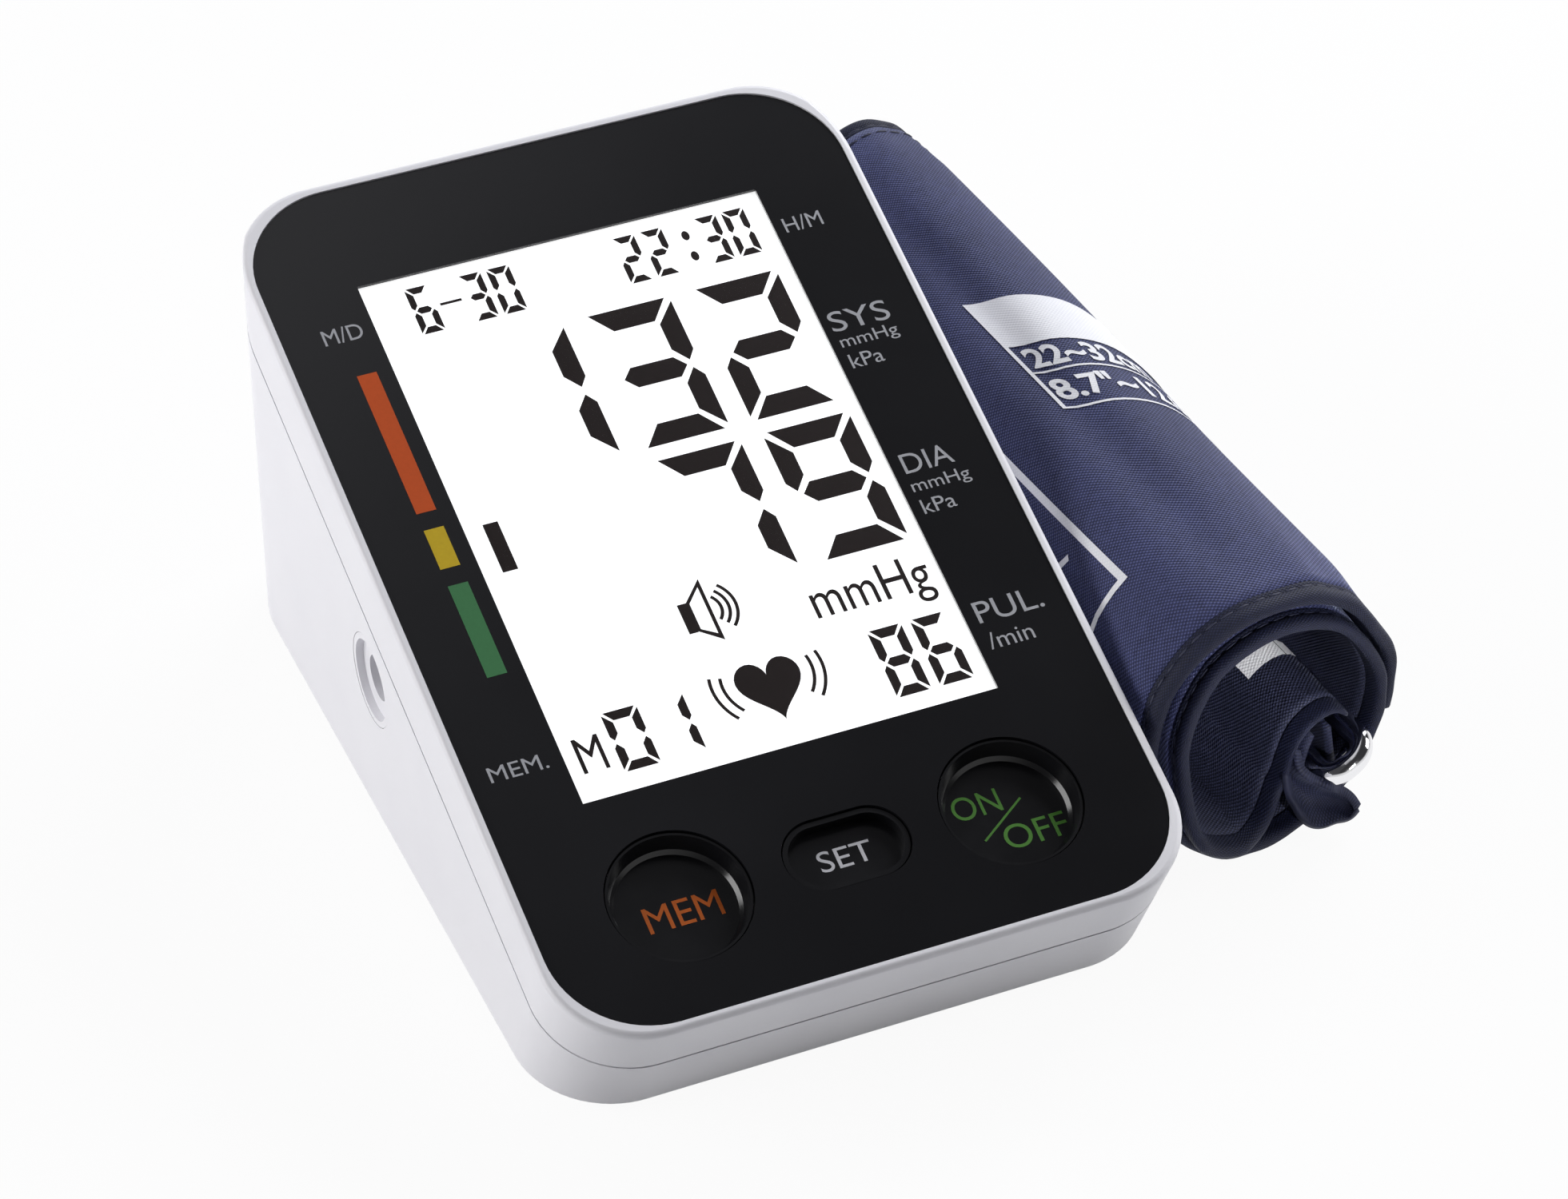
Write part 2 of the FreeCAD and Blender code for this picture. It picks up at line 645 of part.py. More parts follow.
# Rubber feet under the screws, and the screws themselves
for i, (side, y) in enumerate(posts):
    node(f"rubber_foot_{i + 1}", cylinder(post_x * side, y, Size(0.0, "0"), foot_radius,
                                          foot_rise + foot_sink - 0.05))
shanks = [fuse(f"case_screw_{i}", cylinder(post_x * side, y, head_seat - 0.1, screw_radius,
                                           screw_long),
               cylinder(post_x * side, y, head_seat - 1.8, screw_head, Size(1.78, "1.78")))
          for i, (side, y) in enumerate(posts)]
case_screws = doc.addObject("Part::Compound", "case_screw_set")
case_screws.Links = shanks
node("case_screws", case_screws)

# ---------------------------------------------------------------- face

panel_plate = tilt_to_face(round_plate(
    "panel_plate", -panel_wide / 2, panel_wide / 2, Size(0.0, "0"), panel_long,
    panel_corner, deck_top + 0.02, Size(0.0, "0")))
panel_window = window_block(slack / 2, slack / 2, deck_top - 1, Size(1.0, "1"))
# The display's glass comes up into a pocket behind the panel, right under the clear window
glass_top = -lens_thick - slack * 1.5
pocket_gap = glass_margin + slack
panel_pocket = window_block(pocket_gap, pocket_gap, deck_top - 1, glass_top + slack / 2)
node("front_panel", cut("front_panel_body", panel_plate, panel_window, panel_pocket,
                        *button_holes("panel_bar_hole", deck_top - 1, Size(1.0, "1"))))
node("display_lens", window_block(Size(0.0, "0"), Size(0.0, "0"), -slack / 2 - lens_thick,
                                  -slack / 2))

glass_under = glass_top - glass_thick
light_under = glass_under - slack - light_thick
node("lcd_glass", window_block(glass_margin, glass_margin, glass_under, glass_top))
node("backlight_guide", window_block(glass_margin, Size(0.0, "0"), light_under,
                                     glass_under - slack))
frame_wall = size("frame_wall", 1.8, "display frame wall")
frame_gap = glass_margin + 0.15
frame_out = frame_gap + frame_wall
frame_floor = light_under - slack - 1.4
frame_ring = cut("frame_ring",
                 window_block(frame_out, frame_out, 0.05 - board_depth, deck_under - 0.1),
                 window_block(frame_gap, frame_gap, -board_depth - 1, Size(0.0, "0")))
frame_shelf = window_block(frame_gap + 0.1, Size(-0.5, "-0.5"), frame_floor,
                           light_under - slack)
node("lcd_frame", fuse("lcd_frame_body", frame_ring, frame_shelf))

pin_pitch = size("pin_pitch", 3.4, "display pins apart")
pin_count = 18
pins = [face_block(window_left + 4 + pin_pitch * i, window_left + 4.5 + pin_pitch * i,
                   window_low - 0.9 if low_row else window_high + 0.5,
                   window_low - 0.5 if low_row else window_high + 0.9,
                   0.02 - board_depth, glass_under - 0.02)
        for low_row in (True, False) for i in range(pin_count)]
pin_rows = doc.addObject("Part::Compound", "pin_rows")
pin_rows.Links = pins
node("lcd_pins", pin_rows)

board_under = -board_depth - board_thick
board_plate = face_block(-board_wide / 2, board_wide / 2, board_low, board_high,
                         board_under, -board_depth)
board_holes = [cylinder(boss_x * side, up, board_under - 1, board_screw + slack * 2,
                        board_thick + 2, face=True) for side, up in bosses]
node("main_board", cut("main_board_body", board_plate, *board_holes))
board_screws = doc.addObject("Part::Compound", "board_screw_set")
board_screws.Links = [fuse(f"board_screw_{i}",
                           cylinder(boss_x * side, up, board_under - 1.52, Size(2.1, "2.1"),
                                    Size(1.5, "1.5"), face=True),
                           cylinder(boss_x * side, up, board_under - 0.1, board_screw,
                                    board_thick + 5, face=True))
                      for i, (side, up) in enumerate(bosses)]
node("board_screws", board_screws)

# Chips and parts soldered under the board: x, up the face, half sizes, height
chip_places = ((6.0, 84.0, 5.0, 5.0, 1.6), (-14.0, 104.0, 4.0, 3.0, 1.4),
               (22.0, 112.0, 3.0, 2.5, 1.4), (-2.0, 124.0, 7.0, 3.0, 3.4))
chips = doc.addObject("Part::Compound", "chip_set")
chips.Links = [face_block(Size(x - a, repr(x - a)), x + a, Size(y - b, repr(y - b)), y + b,
                          board_under - tall, board_under - 0.02)
               for x, y, a, b, tall in chip_places]
node("board_chips", chips)

# ---------------------------------------------------------------- buttons and switches

cap_radius = button_radius - button_slack
flange_top = deck_under - 0.05
flange_under = flange_top - 1.2
plunger_top = size("plunger_top", 9.5, "switch plungers below the face")
stem_under = 0.05 + button_travel - plunger_top
stem_radius = size("stem_radius", 2.5, "button stems")
mouth_radius = cap_radius - cup_rim
well_radius = mouth_radius - cup_lean


def round_button(name, x):
    """Turned cup with flange and stem: a finger well with a leaning wall and a flat floor."""
    lathe = turned(name + "_cap", [
        (0.0, stem_under), (stem_radius, stem_under), (stem_radius, flange_under),
        (cap_radius + button_flange, flange_under), (cap_radius + button_flange, flange_top),
        (cap_radius, flange_top), (cap_radius, -button_sink), (mouth_radius, -button_sink),
        (well_radius, cup_round - button_well), (well_radius - cup_round, -button_well),
        (0.0, -button_well)])
    node(name, place(lathe, *on_face(x, button_row, 0.0), ACROSS, face_tilt))


round_button("memory_button", -button_pitch)
round_button("power_button", button_pitch)
node("set_button", cut(
    "set_button_body",
    fuse("set_button_solid",
         bar_button_plate("set_cap", -button_slack, flange_top - 0.1, -button_sink),
         bar_button_plate("set_flange", button_flange - button_slack, flange_under, flange_top),
         cylinder(0.0, button_row, stem_under, stem_radius, flange_under - stem_under + 0.1,
                  face=True)),
    bar_button_plate("set_well", -button_slack - cup_rim * 2, -bar_well, Size(1.0, "1"))))

switch_high = size("switch_high", 3.4, "push switch housings")
switch_half = size("switch_half", 3.0, "push switch housings, half their width")
for name, x in (("memory_switch", -button_pitch), ("set_switch", Size(0.0, "0")),
                ("power_switch", button_pitch)):
    housing = face_block(x - switch_half, x + switch_half, button_row - switch_half,
                         button_row + switch_half, 0.02 - board_depth,
                         switch_high - board_depth)
    plunger = cylinder(x, button_row, switch_high - 0.1 - board_depth, Size(1.7, "1.7"),
                       board_depth - plunger_top - switch_high + 0.1, face=True)
    node(name, fuse(name + "_body", housing, plunger))

# ---------------------------------------------------------------- air system

node("pump_motor", fuse("pump_motor_body",
                        cylinder(motor_x + 0.05, pump_y, pump_z, motor_radius,
                                 motor_long, "X"),
                        cylinder(motor_x + motor_long, pump_y, pump_z, Size(3.5, "3.5"),
                                 Size(2.0, "2"), "X")))
head_left = motor_x - head_long
nozzle_long = size("nozzle_long", 6.0, "air nozzles, length")
node("pump_head", cut("pump_head_body",
                      fuse("pump_head_solid",
                           cylinder(head_left, pump_y, pump_z, head_radius, head_long, "X"),
                           cylinder(head_left - nozzle_long, pump_y, pump_z, nozzle_radius,
                                    nozzle_long + 1, "X")),
                      cylinder(head_left - nozzle_long - 1, pump_y, pump_z,
                               nozzle_radius / 2, nozzle_long + 4, "X")))
hub_right = hub_left + hub_wide
tube_wall = size("tube_wall", 1.0, "silicone tube wall")
node("pump_tube", cut("pump_tube_body",
                      cylinder(hub_right + 0.2, pump_y, pump_z, nozzle_radius + tube_wall + slack,
                               head_left - hub_right - 0.4, "X"),
                      cylinder(hub_right - 1, pump_y, pump_z, nozzle_radius + slack,
                               head_left - hub_right + 2, "X")))

# Manifold: low bar with a riser at the back that takes the socket and the sensor tube
hub_back = hub_front + hub_long
riser_front = hub_back - 10.0
hub_mid = hub_left + hub_wide / 2
valve_z = size("valve_z", 14.4, "valve nozzle above the table")
channel = size("channel", 1.4, "air channels in the manifold, radius")
sensor_port_z = size("sensor_port_z", 26.0, "sensor port above the table")
hub_solid = fuse("hub_solid",
                 box(hub_left, hub_right, hub_front, hub_back, hub_low, hub_low + hub_high),
                 box(hub_left, hub_right, riser_front, hub_back, hub_low, socket_z + 4),
                 cylinder(hub_right - 0.5, pump_y, pump_z, nozzle_radius,
                          nozzle_long + 0.5, "X"),
                 cylinder(hub_mid, hub_back - 0.5, sensor_port_z, nozzle_radius * 0.75,
                          nozzle_long * 0.6, "Y"))
node("air_manifold", cut(
    "air_manifold_body", hub_solid,
    cylinder(hub_mid, hub_front - 1, valve_z, nozzle_radius + slack, Size(5.0, "5"), "Y"),
    cylinder(hub_mid, hub_front + 3, pump_z, channel, hub_long - 8, "Y"),
    cylinder(hub_mid, hub_back - 5, pump_z, channel, socket_z - pump_z, "Z"),
    cylinder(hub_mid, pump_y, pump_z, channel / 2, hub_wide + nozzle_long, "X"),
    cylinder(hub_mid, hub_back - 5, sensor_port_z, channel / 2, 5 + nozzle_long, "Y"),
    cylinder(hub_left - 1, socket_y, socket_z, nozzle_radius + slack, hub_wide / 2 + 1, "X")))

valve_long = size("valve_long", 17.0, "release valve front to back")
valve_wide = size("valve_wide", 13.0, "release valve across")
valve_back = hub_front - 2.0
valve_core = box(hub_mid - valve_wide / 2, hub_mid + valve_wide / 2, valve_back - valve_long,
                 valve_back, floor_top + 0.2, valve_z + 3.4)
node("release_valve", fuse("release_valve_body", valve_core,
                           cylinder(hub_mid, valve_back - 0.5, valve_z, nozzle_radius,
                                    Size(5.5, "5.5"), "Y")))

# Air socket: dished flange in the side wall, bore for the hose plug, nozzle to the manifold
dish_deep = size("dish_deep", 1.3, "dish of the air socket")
socket_deep = size("socket_deep", 8.0, "air socket bore length")
skin = -half_case
socket_solid = fuse("socket_solid",
                    cylinder(skin + 0.05, socket_y, socket_z, socket_dish, wall - 0.15, "X"),
                    cylinder(skin + wall - 0.2, socket_y, socket_z, socket_bore + 1.5,
                             socket_deep, "X"),
                    cylinder(skin + wall + socket_deep - 0.5, socket_y, socket_z,
                             nozzle_radius, hub_left - skin - wall - socket_deep + 4, "X"))
socket_back = skin + dish_deep
node("air_socket", cut("air_socket_body", socket_solid,
                       cylinder(skin - 1, socket_y, socket_z, socket_dish - 1.0,
                                dish_deep + 1, "X"),
                       cylinder(skin - 1, socket_y, socket_z, socket_bore,
                                dish_deep + socket_deep + 1, "X"),
                       cylinder(socket_back, socket_y, socket_z, nozzle_radius / 2,
                                hub_left - skin + 4, "X")))

# Pressure sensor hangs under the board; its tube runs down to the riser
sensor_up = size("sensor_up", 100.0, "pressure sensor up the face")
sensor_under = board_under - 3.0
nipple_tip = sensor_under - 4.0
node("pressure_sensor", fuse("pressure_sensor_body",
                             face_block(hub_mid - 4, hub_mid + 4, sensor_up - 4,
                                        sensor_up + 4, sensor_under, board_under - 0.02),
                             cylinder(hub_mid, sensor_up, nipple_tip,
                                      nozzle_radius * 0.75, Size(4.1, "4.1"), face=True)))


def spot(point):
    return Vector(*(number(v) for v in point))


def bent_path(points, radii):
    """Wire of straight runs joined by tangent arcs."""
    edges = []
    start = points[0]
    for i in range(1, len(points) - 1):
        to_here = (points[i] - points[i - 1]).normalize()
        onward = (points[i + 1] - points[i]).normalize()
        turn = to_here.getAngle(onward)
        reach = radii[i - 1] * math.tan(turn / 2)
        arc_start = points[i] - to_here * reach
        arc_end = points[i] + onward * reach
        bulge = (onward - to_here).normalize()
        middle = points[i] + bulge * (radii[i - 1] / math.cos(turn / 2) - radii[i - 1])
        edges.append(Part.LineSegment(start, arc_start).toShape())
        edges.append(Part.Arc(arc_start, middle, arc_end).toShape())
        start = arc_end
    edges.append(Part.LineSegment(start, points[-1]).toShape())
    return Part.Wire(edges)


def swept_tube(name, points, radii, outside, inside):
    """Hollow silicone tube along a bent path."""
    path = bent_path(points, radii)
    heading = (points[1] - points[0]).normalize()
    rings = [Part.Wire([Part.Circle(points[0], heading, r).toShape()])
             for r in (outside, inside)]
    shells = [path.makePipeShell([ring], True, False) for ring in rings]
    tube = doc.addObject("Part::Feature", name)
    tube.Shape = shells[0].cut(shells[1])
    return tube


tube_start = spot(on_face(hub_mid, sensor_up, sensor_under - 0.1))
tube_drop = (sensor_port_z - face_height - sensor_up * face_tilt.sin()) / face_tilt.cos()
tube_bend = spot(on_face(hub_mid, sensor_up, tube_drop))
tube_end = spot(on_base(hub_mid, hub_back + 0.2, sensor_port_z))
inside_radius = number(nozzle_radius * 0.75 + slack)
node("sensor_tube", swept_tube("sensor_tube_body", [tube_start, tube_bend, tube_end], [4.2],
                               inside_radius + 0.8, inside_radius))

node("speaker", fuse("speaker_body",
                     cylinder(speaker_x, speaker_y, floor_top + 0.1, speaker_radius,
                              Size(1.4, "1.4")),
                     cylinder(speaker_x, speaker_y, floor_top + 1.4, speaker_radius * 0.72,
                              speaker_high - 1.4)))
jack_front = back_reach - wall - jack_long
jack_solid = fuse("jack_solid",
                  box(jack_x - jack_half, jack_x + jack_half, jack_front,
                      back_reach - wall - 0.1, jack_z - jack_half, jack_z + jack_half),
                  cylinder(jack_x, back_reach - wall - 0.5, jack_z, jack_radius,
                           wall + 0.4, "Y"))
node("power_socket", fuse("power_socket_body",
                          cut("jack_bored", jack_solid,
                              cylinder(jack_x, back_reach - 10, jack_z, Size(2.85, "2.85"),
                                       Size(12.0, "12"), "Y")),
                          cylinder(jack_x, back_reach - 10.5, jack_z, Size(1.0, "1"),
                                   Size(9.0, "9"), "Y")))

# ---------------------------------------------------------------- batteries

plate_thick = size("plate_thick", 0.4, "battery contact plates")
nub_long = size("nub_long", 1.3, "battery cell's raised contact")
contact_x = bay_half - plate_thick - slack
for side, name in ((-1, "contact_plate_left"), (1, "contact_plate_right")):
    plates = doc.addObject("Part::Compound", name + "_set")
    inner, outer = (contact_x, contact_x + plate_thick)
    low, high = (inner, outer) if side > 0 else (-outer, -inner)
    plates.Links = [box(low, high, bay_front + 1 + cell_pitch * i,
                        bay_front + cell_pitch * (i + 1) - 1, cover_top + 1, bay_top - 1)
                    for i in range(cell_count)]
    node(name, plates)

spring_gap = contact_x * 2 - cell_long - nub_long - 0.1
wire_radius = size("wire_radius", 0.35, "contact spring wire radius")
spring_radius = size("spring_radius", 2.6, "contact spring coil radius")
spring_turns = 3
springs = []
for i in range(cell_count):
    side = 1 if i % 2 else -1
    cell_y = bay_front + 0.15 + cell_radius + cell_pitch * i
    # Every second cell lies the other way round, its nub on the plate opposite its spring
    body_start = -contact_x + nub_long + 0.05 if side > 0 else contact_x - nub_long - 0.05 - cell_long
    nub_start = -contact_x + 0.05 if side > 0 else body_start + cell_long - 0.1
    node(f"battery_cell_{i + 1}", fuse(
        f"battery_cell_{i + 1}_body",
        cylinder(body_start, cell_y, cell_z, cell_radius, cell_long, "X"),
        cylinder(nub_start, cell_y, cell_z, Size(2.7, "2.7"), nub_long + 0.1, "X")))
    pitch = (spring_gap.number - 2 * wire_radius.number - 0.1) / spring_turns
    coil_start = contact_x.number - 0.05 - wire_radius.number
    helix = Part.makeHelix(pitch, pitch * spring_turns, spring_radius.number)
    ring = Part.Circle(Vector(spring_radius.number, 0, 0), Vector(0, 1, 0), wire_radius.number)
    coil = Part.Wire(helix.Edges).makePipeShell([Part.Wire([ring.toShape()])], True, True)
    coil.Placement = Placement(Vector(monitor_x.number + side * coil_start,
                                      monitor_y.number + cell_y.number, cell_z.number),
                               Rotation(Vector(0, 1, 0), -90 * side))
    springs.append(coil)
spring_set = doc.addObject("Part::Feature", "contact_spring_set")
spring_set.Shape = Part.makeCompound(springs)
node("contact_springs", spring_set)

# ---------------------------------------------------------------- cuff
# Middle line of the rolled cuff, seen from the front: across, above the table. It starts
# at the free flap's end, runs round outside, then in to the arch over the ring. The roll is
# squeezed narrower at its back end.
FRONT_LINE = ((36.3, 15.2), (36.9, 20.6), (36.3, 26.4), (32.65, 32.9), (28.3, 39.4),
              (20.8, 45.7), (11.5, 47.9), (2.1, 45.7), (-5.5, 39.6), (-9.9, 30.8),
              (-10.4, 20.8), (-6.7, 11.5), (0.4, 4.5), (9.5, 1.9), (19.6, 3.2),
              (28.3, 8.2), (32.7, 16.2), (32.8, 25.0), (29.6, 31.0), (25.6, 34.8),
              (20.4, 38.2), (14.0, 40.0), (7.6, 39.0), (1.4, 34.6), (-2.4, 27.0),
              (-3.4, 18.5), (-0.6, 11.2), (4.0, 7.4), (9.6, 6.6), (14.0, 9.0),
              (15.4, 14.0), (17.4, 18.9), (21.0, 21.3), (23.8, 21.2), (25.6, 19.8))
BACK_LINE = ((36.4, 17.2), (36.9, 22.6), (36.5, 28.2), (33.8, 34.8), (29.8, 41.2),
             (25.2, 46.2), (19.4, 47.9), (13.5, 45.2), (9.5, 39.6), (7.1, 32.7),
             (6.3, 24.0), (7.7, 14.7), (11.5, 6.5), (18.0, 1.9), (25.0, 3.4),
             (30.2, 9.3), (32.8, 18.3), (33.1, 26.8), (30.9, 32.9), (27.0, 37.8),
             (22.9, 41.9), (19.3, 43.3), (15.8, 41.4), (12.9, 36.4), (10.9, 29.5),
             (10.3, 22.6), (11.1, 17.4), (12.2, 14.7), (14.2, 13.8), (16.2, 14.7),
             (17.2, 17.2), (18.6, 19.9), (21.1, 21.4), (23.9, 21.2), (25.6, 19.8))
flap_point_count = 7
bladder_point_count = 28
LAST_POINT = len(FRONT_LINE) - 1
stack = cloth_thick * 2 + bladder_thick + layer_gap * 2


def roll_line(share):
    """Points of the roll's middle line; share 0 is the front end, 1 the back."""
    return [Vector(x0 + share * (x1 - x0), 0, z0 + share * (z1 - z0))
            for (x0, z0), (x1, z1) in zip(FRONT_LINE, BACK_LINE)]


halfway = roll_line(0.5)
stations = [0.0]
for near_point, far_point in zip(halfway, halfway[1:]):
    stations.append(stations[-1] + (far_point - near_point).Length)
steps = [a + (b - a) * i / 3 for a, b in zip(stations, stations[1:]) for i in range(3)]
steps.append(stations[-1])


def roll_curve(share, offset):
    """Spline beside the middle line. A point keeps its station on every such spline."""
    middle = Part.BSplineCurve()
    middle.interpolate(Points=roll_line(share), Parameters=stations)
    placed = []
    for step in steps:
        heading = middle.tangent(step)[0]
        placed.append(middle.value(step) + Vector(heading.z, 0, -heading.x) * offset)
    curve = Part.BSplineCurve()
    curve.interpolate(Points=placed, Parameters=steps)
    return curve


def roll_section(behind, low, high, first=0, last=LAST_POINT):
    """Closed outline of one layer of the roll at a distance behind the front end."""
    share = behind / cuff_wide.number
    start, end = stations[first], stations[last]
    near_side, far_side = [roll_curve(share, offset).toShape(start, end)
                           for offset in (low, high)]
    caps = [Part.LineSegment(near_side.valueAt(at), far_side.valueAt(at)).toShape()
            for at in (start, end)]
    outline = Part.Wire([near_side, caps[1], far_side, caps[0]])
    outline.translate(Vector(0, behind, 0))
    return outline


def roll_layer(name, low, high, near, far, first=0, last=LAST_POINT):
    """One layer of the roll, between two distances behind its front end."""
    layer = doc.addObject("Part::Feature", name)
    sections = [roll_section(at, low, high, first, last) for at in (near, far)]
    layer.Shape = Part.makeLoft(sections, True, True)
    return lay_beside(layer)


def lay_beside(feature):
    """Lays a piece of the cuff on the table beside the monitor."""
    return place(feature, cuff_x, cuff_y, 0.0, Vector(0, 0, 1), cuff_turn)


half_stack = stack.number / 2
near_edge = binding_wide.number + 0.1
far_edge = cuff_wide.number - near_edge
outer_in = half_stack - cloth_thick.number
lining_out = -half_stack + cloth_thick.number
node("cuff_outer_cloth", roll_layer("outer_cloth_roll", outer_in, half_stack,
                                    near_edge, far_edge))
node("cuff_bladder", roll_layer("bladder_roll", lining_out + layer_gap.number,
                                outer_in - layer_gap.number, near_edge + 8, far_edge - 8,
                                flap_point_count, bladder_point_count))
node("cuff_lining", roll_layer("lining_roll", -half_stack, lining_out, near_edge, far_edge,
                               flap_point_count))
node("hook_patch", roll_layer("hook_patch_roll", -half_stack, lining_out, near_edge,
                              far_edge, 0, flap_point_count - 1))
half_binding = binding_thick.number / 2
node("edge_binding_front", roll_layer("binding_front_roll", -half_binding, half_binding,
                                      0.0, binding_wide.number))
node("edge_binding_back", roll_layer("binding_back_roll", -half_binding, half_binding,
                                     cuff_wide.number - binding_wide.number,
                                     cuff_wide.number))

# Ring: flat loop of polished wire, one long side held in a cloth tunnel at the cuff's end
held_x = size("held_x", 20.8, "ring's held side across the roll")
held_z = size("held_z", 10.6, "ring's held side above the table")
free_angle = size("free_angle", 31.0, "ring's slope to its free side, degrees")
ring_over = size("ring_over", 3.4, "ring's end bends beyond the cuff's edges")
tab_wall = size("tab_wall", 0.8, "cloth tunnel round the ring")

held = Vector(held_x.number, 0, held_z.number)
slope = math.radians(free_angle.number)
free = held + Vector(math.cos(slope), 0, math.sin(slope)) * ring_reach.number
front_y = Vector(0, -ring_over.number, 0)
back_y = Vector(0, cuff_wide.number + ring_over.number, 0)
corners = [held + Vector(0, cuff_wide.number / 2, 0), held + back_y, free + back_y,
           free + front_y, held + front_y, held + Vector(0, cuff_wide.number / 2, 0)]
ring_path = bent_path(corners, [3.4, 3.4, 3.4, 3.4])
wire_round = Part.Wire([Part.Circle(corners[0], Vector(0, 1, 0), ring_wire.number).toShape()])
ring_feature = doc.addObject("Part::Feature", "ring_loop")
ring_feature.Shape = ring_path.makePipeShell([wire_round], True, False)
node("cuff_ring", lay_beside(ring_feature))

# The cuff's end is stitched into that tunnel and hangs out of the roll as a crumpled tail
tunnel_radius = ring_wire.number + slack.number / 2
tunnel_long = size("tunnel_long", 118.0, "cloth tunnel along the ring")
tail_out = size("tail_out", 6.0, "crumpled tail in front of the roll")
TAIL = ((17.0, 8.0), (17.6, 3.4), (20.8, 1.2), (27.1, 2.2), (25.0, 5.5), (21.4, 7.6))
tunnel_start = held + Vector(0, 0.4, 0)
tunnel = Part.makeCylinder(tunnel_radius + tab_wall.number, tunnel_long.number, tunnel_start,
                           Vector(0, 1, 0))
tunnel_bore = Part.makeCylinder(tunnel_radius, cuff_wide.number, held, Vector(0, 1, 0))
strap_wide = size("strap_wide", 2.4, "cloth web between the tunnel and the tail")
strap = Part.makeBox(strap_wide.number, tail_out.number * 2 + 0.5, 2.5,
                     held + Vector(-1.9, -0.5, -4.8))
tail_line = [Vector(x, -tail_out.number, z) for x, z in TAIL]
tail_face = Part.Face(Part.makePolygon(tail_line + tail_line[:1]))
tail = tail_face.extrude(Vector(0, tail_out.number - 0.4, 0))
tab_feature = doc.addObject("Part::Feature", "ring_tunnel")
tab_feature.Shape = tunnel.fuse([strap, tail]).cut(tunnel_bore).removeSplitter()
node("ring_tab", lay_beside(tab_feature))

# Hose port: stub that leaves the bladder at the back edge, where the air hose plugs in
port_x = size("port_x", 28.1, "hose port across the roll")
port_z = size("port_z", 6.3, "hose port above the table")
port_radius = size("port_radius", 2.6, "hose port outside radius")
port_bore = size("port_bore", 1.5, "hose port bore radius")
port_long = size("port_long", 8.5, "hose port beyond the cuff's back edge")
port_start = Vector(port_x.number, cuff_wide.number + 0.1, port_z.number)
port_feature = doc.addObject("Part::Feature", "port_stub")
port_feature.Shape = Part.makeCylinder(port_radius.number, port_long.number, port_start,
                                       Vector(0, 1, 0)).cut(
    Part.makeCylinder(port_bore.number, port_long.number + 1, port_start - Vector(0, 0.5, 0),
                      Vector(0, 1, 0)))
node("hose_port", lay_beside(port_feature))

# ---------------------------------------------------------------- checks and export

doc.recompute()
failed = [o.Label for o in doc.Objects if "Invalid" in o.State or "Error" in o.State]
assert not failed, f"features failed: {failed}"
for piece in nodes:
    shape = piece.Shape
    assert not shape.isNull() and shape.isValid(), f"bad shape: {piece.Label}"
    assert shape.Volume > 0 and shape.Solids, f"no solid: {piece.Label}"

os.makedirs("parts", exist_ok=True)
whole = Part.makeCompound([piece.Shape for piece in nodes]).optimalBoundingBox(False)
print(f"set: x {whole.XMin:.2f} {whole.XMax:.2f}  y {whole.YMin:.2f} {whole.YMax:.2f}  "
      f"z {whole.ZMin:.2f} {whole.ZMax:.2f}")
for piece in nodes:
    piece.Shape.exportStep(f"parts/{piece.Label}.step")
    print(f"{piece.Label}: {len(piece.Shape.Solids)} solids, {piece.Shape.Volume:.1f} mm3")
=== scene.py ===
import math

import bmesh
import bpy
import numpy as np
from mathutils import Matrix, Vector
from mathutils.bvhtree import BVHTree


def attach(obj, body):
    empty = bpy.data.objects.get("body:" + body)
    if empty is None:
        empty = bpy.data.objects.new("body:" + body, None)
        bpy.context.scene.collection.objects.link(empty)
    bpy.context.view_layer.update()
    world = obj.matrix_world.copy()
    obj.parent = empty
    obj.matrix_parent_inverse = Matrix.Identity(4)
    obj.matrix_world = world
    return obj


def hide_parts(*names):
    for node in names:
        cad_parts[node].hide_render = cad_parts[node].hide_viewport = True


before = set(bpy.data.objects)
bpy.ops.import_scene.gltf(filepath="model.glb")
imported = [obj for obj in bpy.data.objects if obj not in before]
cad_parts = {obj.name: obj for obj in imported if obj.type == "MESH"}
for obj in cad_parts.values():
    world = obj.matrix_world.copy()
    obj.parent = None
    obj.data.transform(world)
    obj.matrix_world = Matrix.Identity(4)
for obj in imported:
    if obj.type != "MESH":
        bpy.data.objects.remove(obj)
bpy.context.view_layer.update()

# ---------------------------------------------------------------- camera
# A long lens stands in front of the set and to its left, and looks down on the face.
look_round = math.radians(-23.286)
look_down = math.radians(39.45)
camera_roll = math.radians(0.119)
camera_back = Vector((math.sin(look_round) * math.cos(look_down),
                      -math.cos(look_round) * math.cos(look_down), math.sin(look_down)))
level_right = Vector((math.cos(look_round), math.sin(look_round), 0))
level_up = camera_back.cross(level_right)
camera_right = level_right * math.cos(camera_roll) + level_up * math.sin(camera_roll)
camera_up = level_up * math.cos(camera_roll) - level_right * math.sin(camera_roll)
camera_place = (-0.27366, -0.62403, 0.57734)
camera_data = bpy.data.cameras.new("camera")
camera_data.lens = 125.443
camera_data.sensor_width = 36
camera = bpy.data.objects.new("camera", camera_data)
bpy.context.scene.collection.objects.link(camera)
camera.matrix_world = (Matrix.Translation(camera_place)
                       @ Matrix((camera_right, camera_up, camera_back)).transposed().to_4x4())
bpy.context.scene.camera = camera
bpy.context.scene.view_settings.view_transform = "Standard"

# ---------------------------------------------------------------- studio
# White table top under a tent of soft light: wide lamps on the left, on the right and high
# behind, a narrow one into the roll's mouth, and a dark ceiling that keeps the panel black.


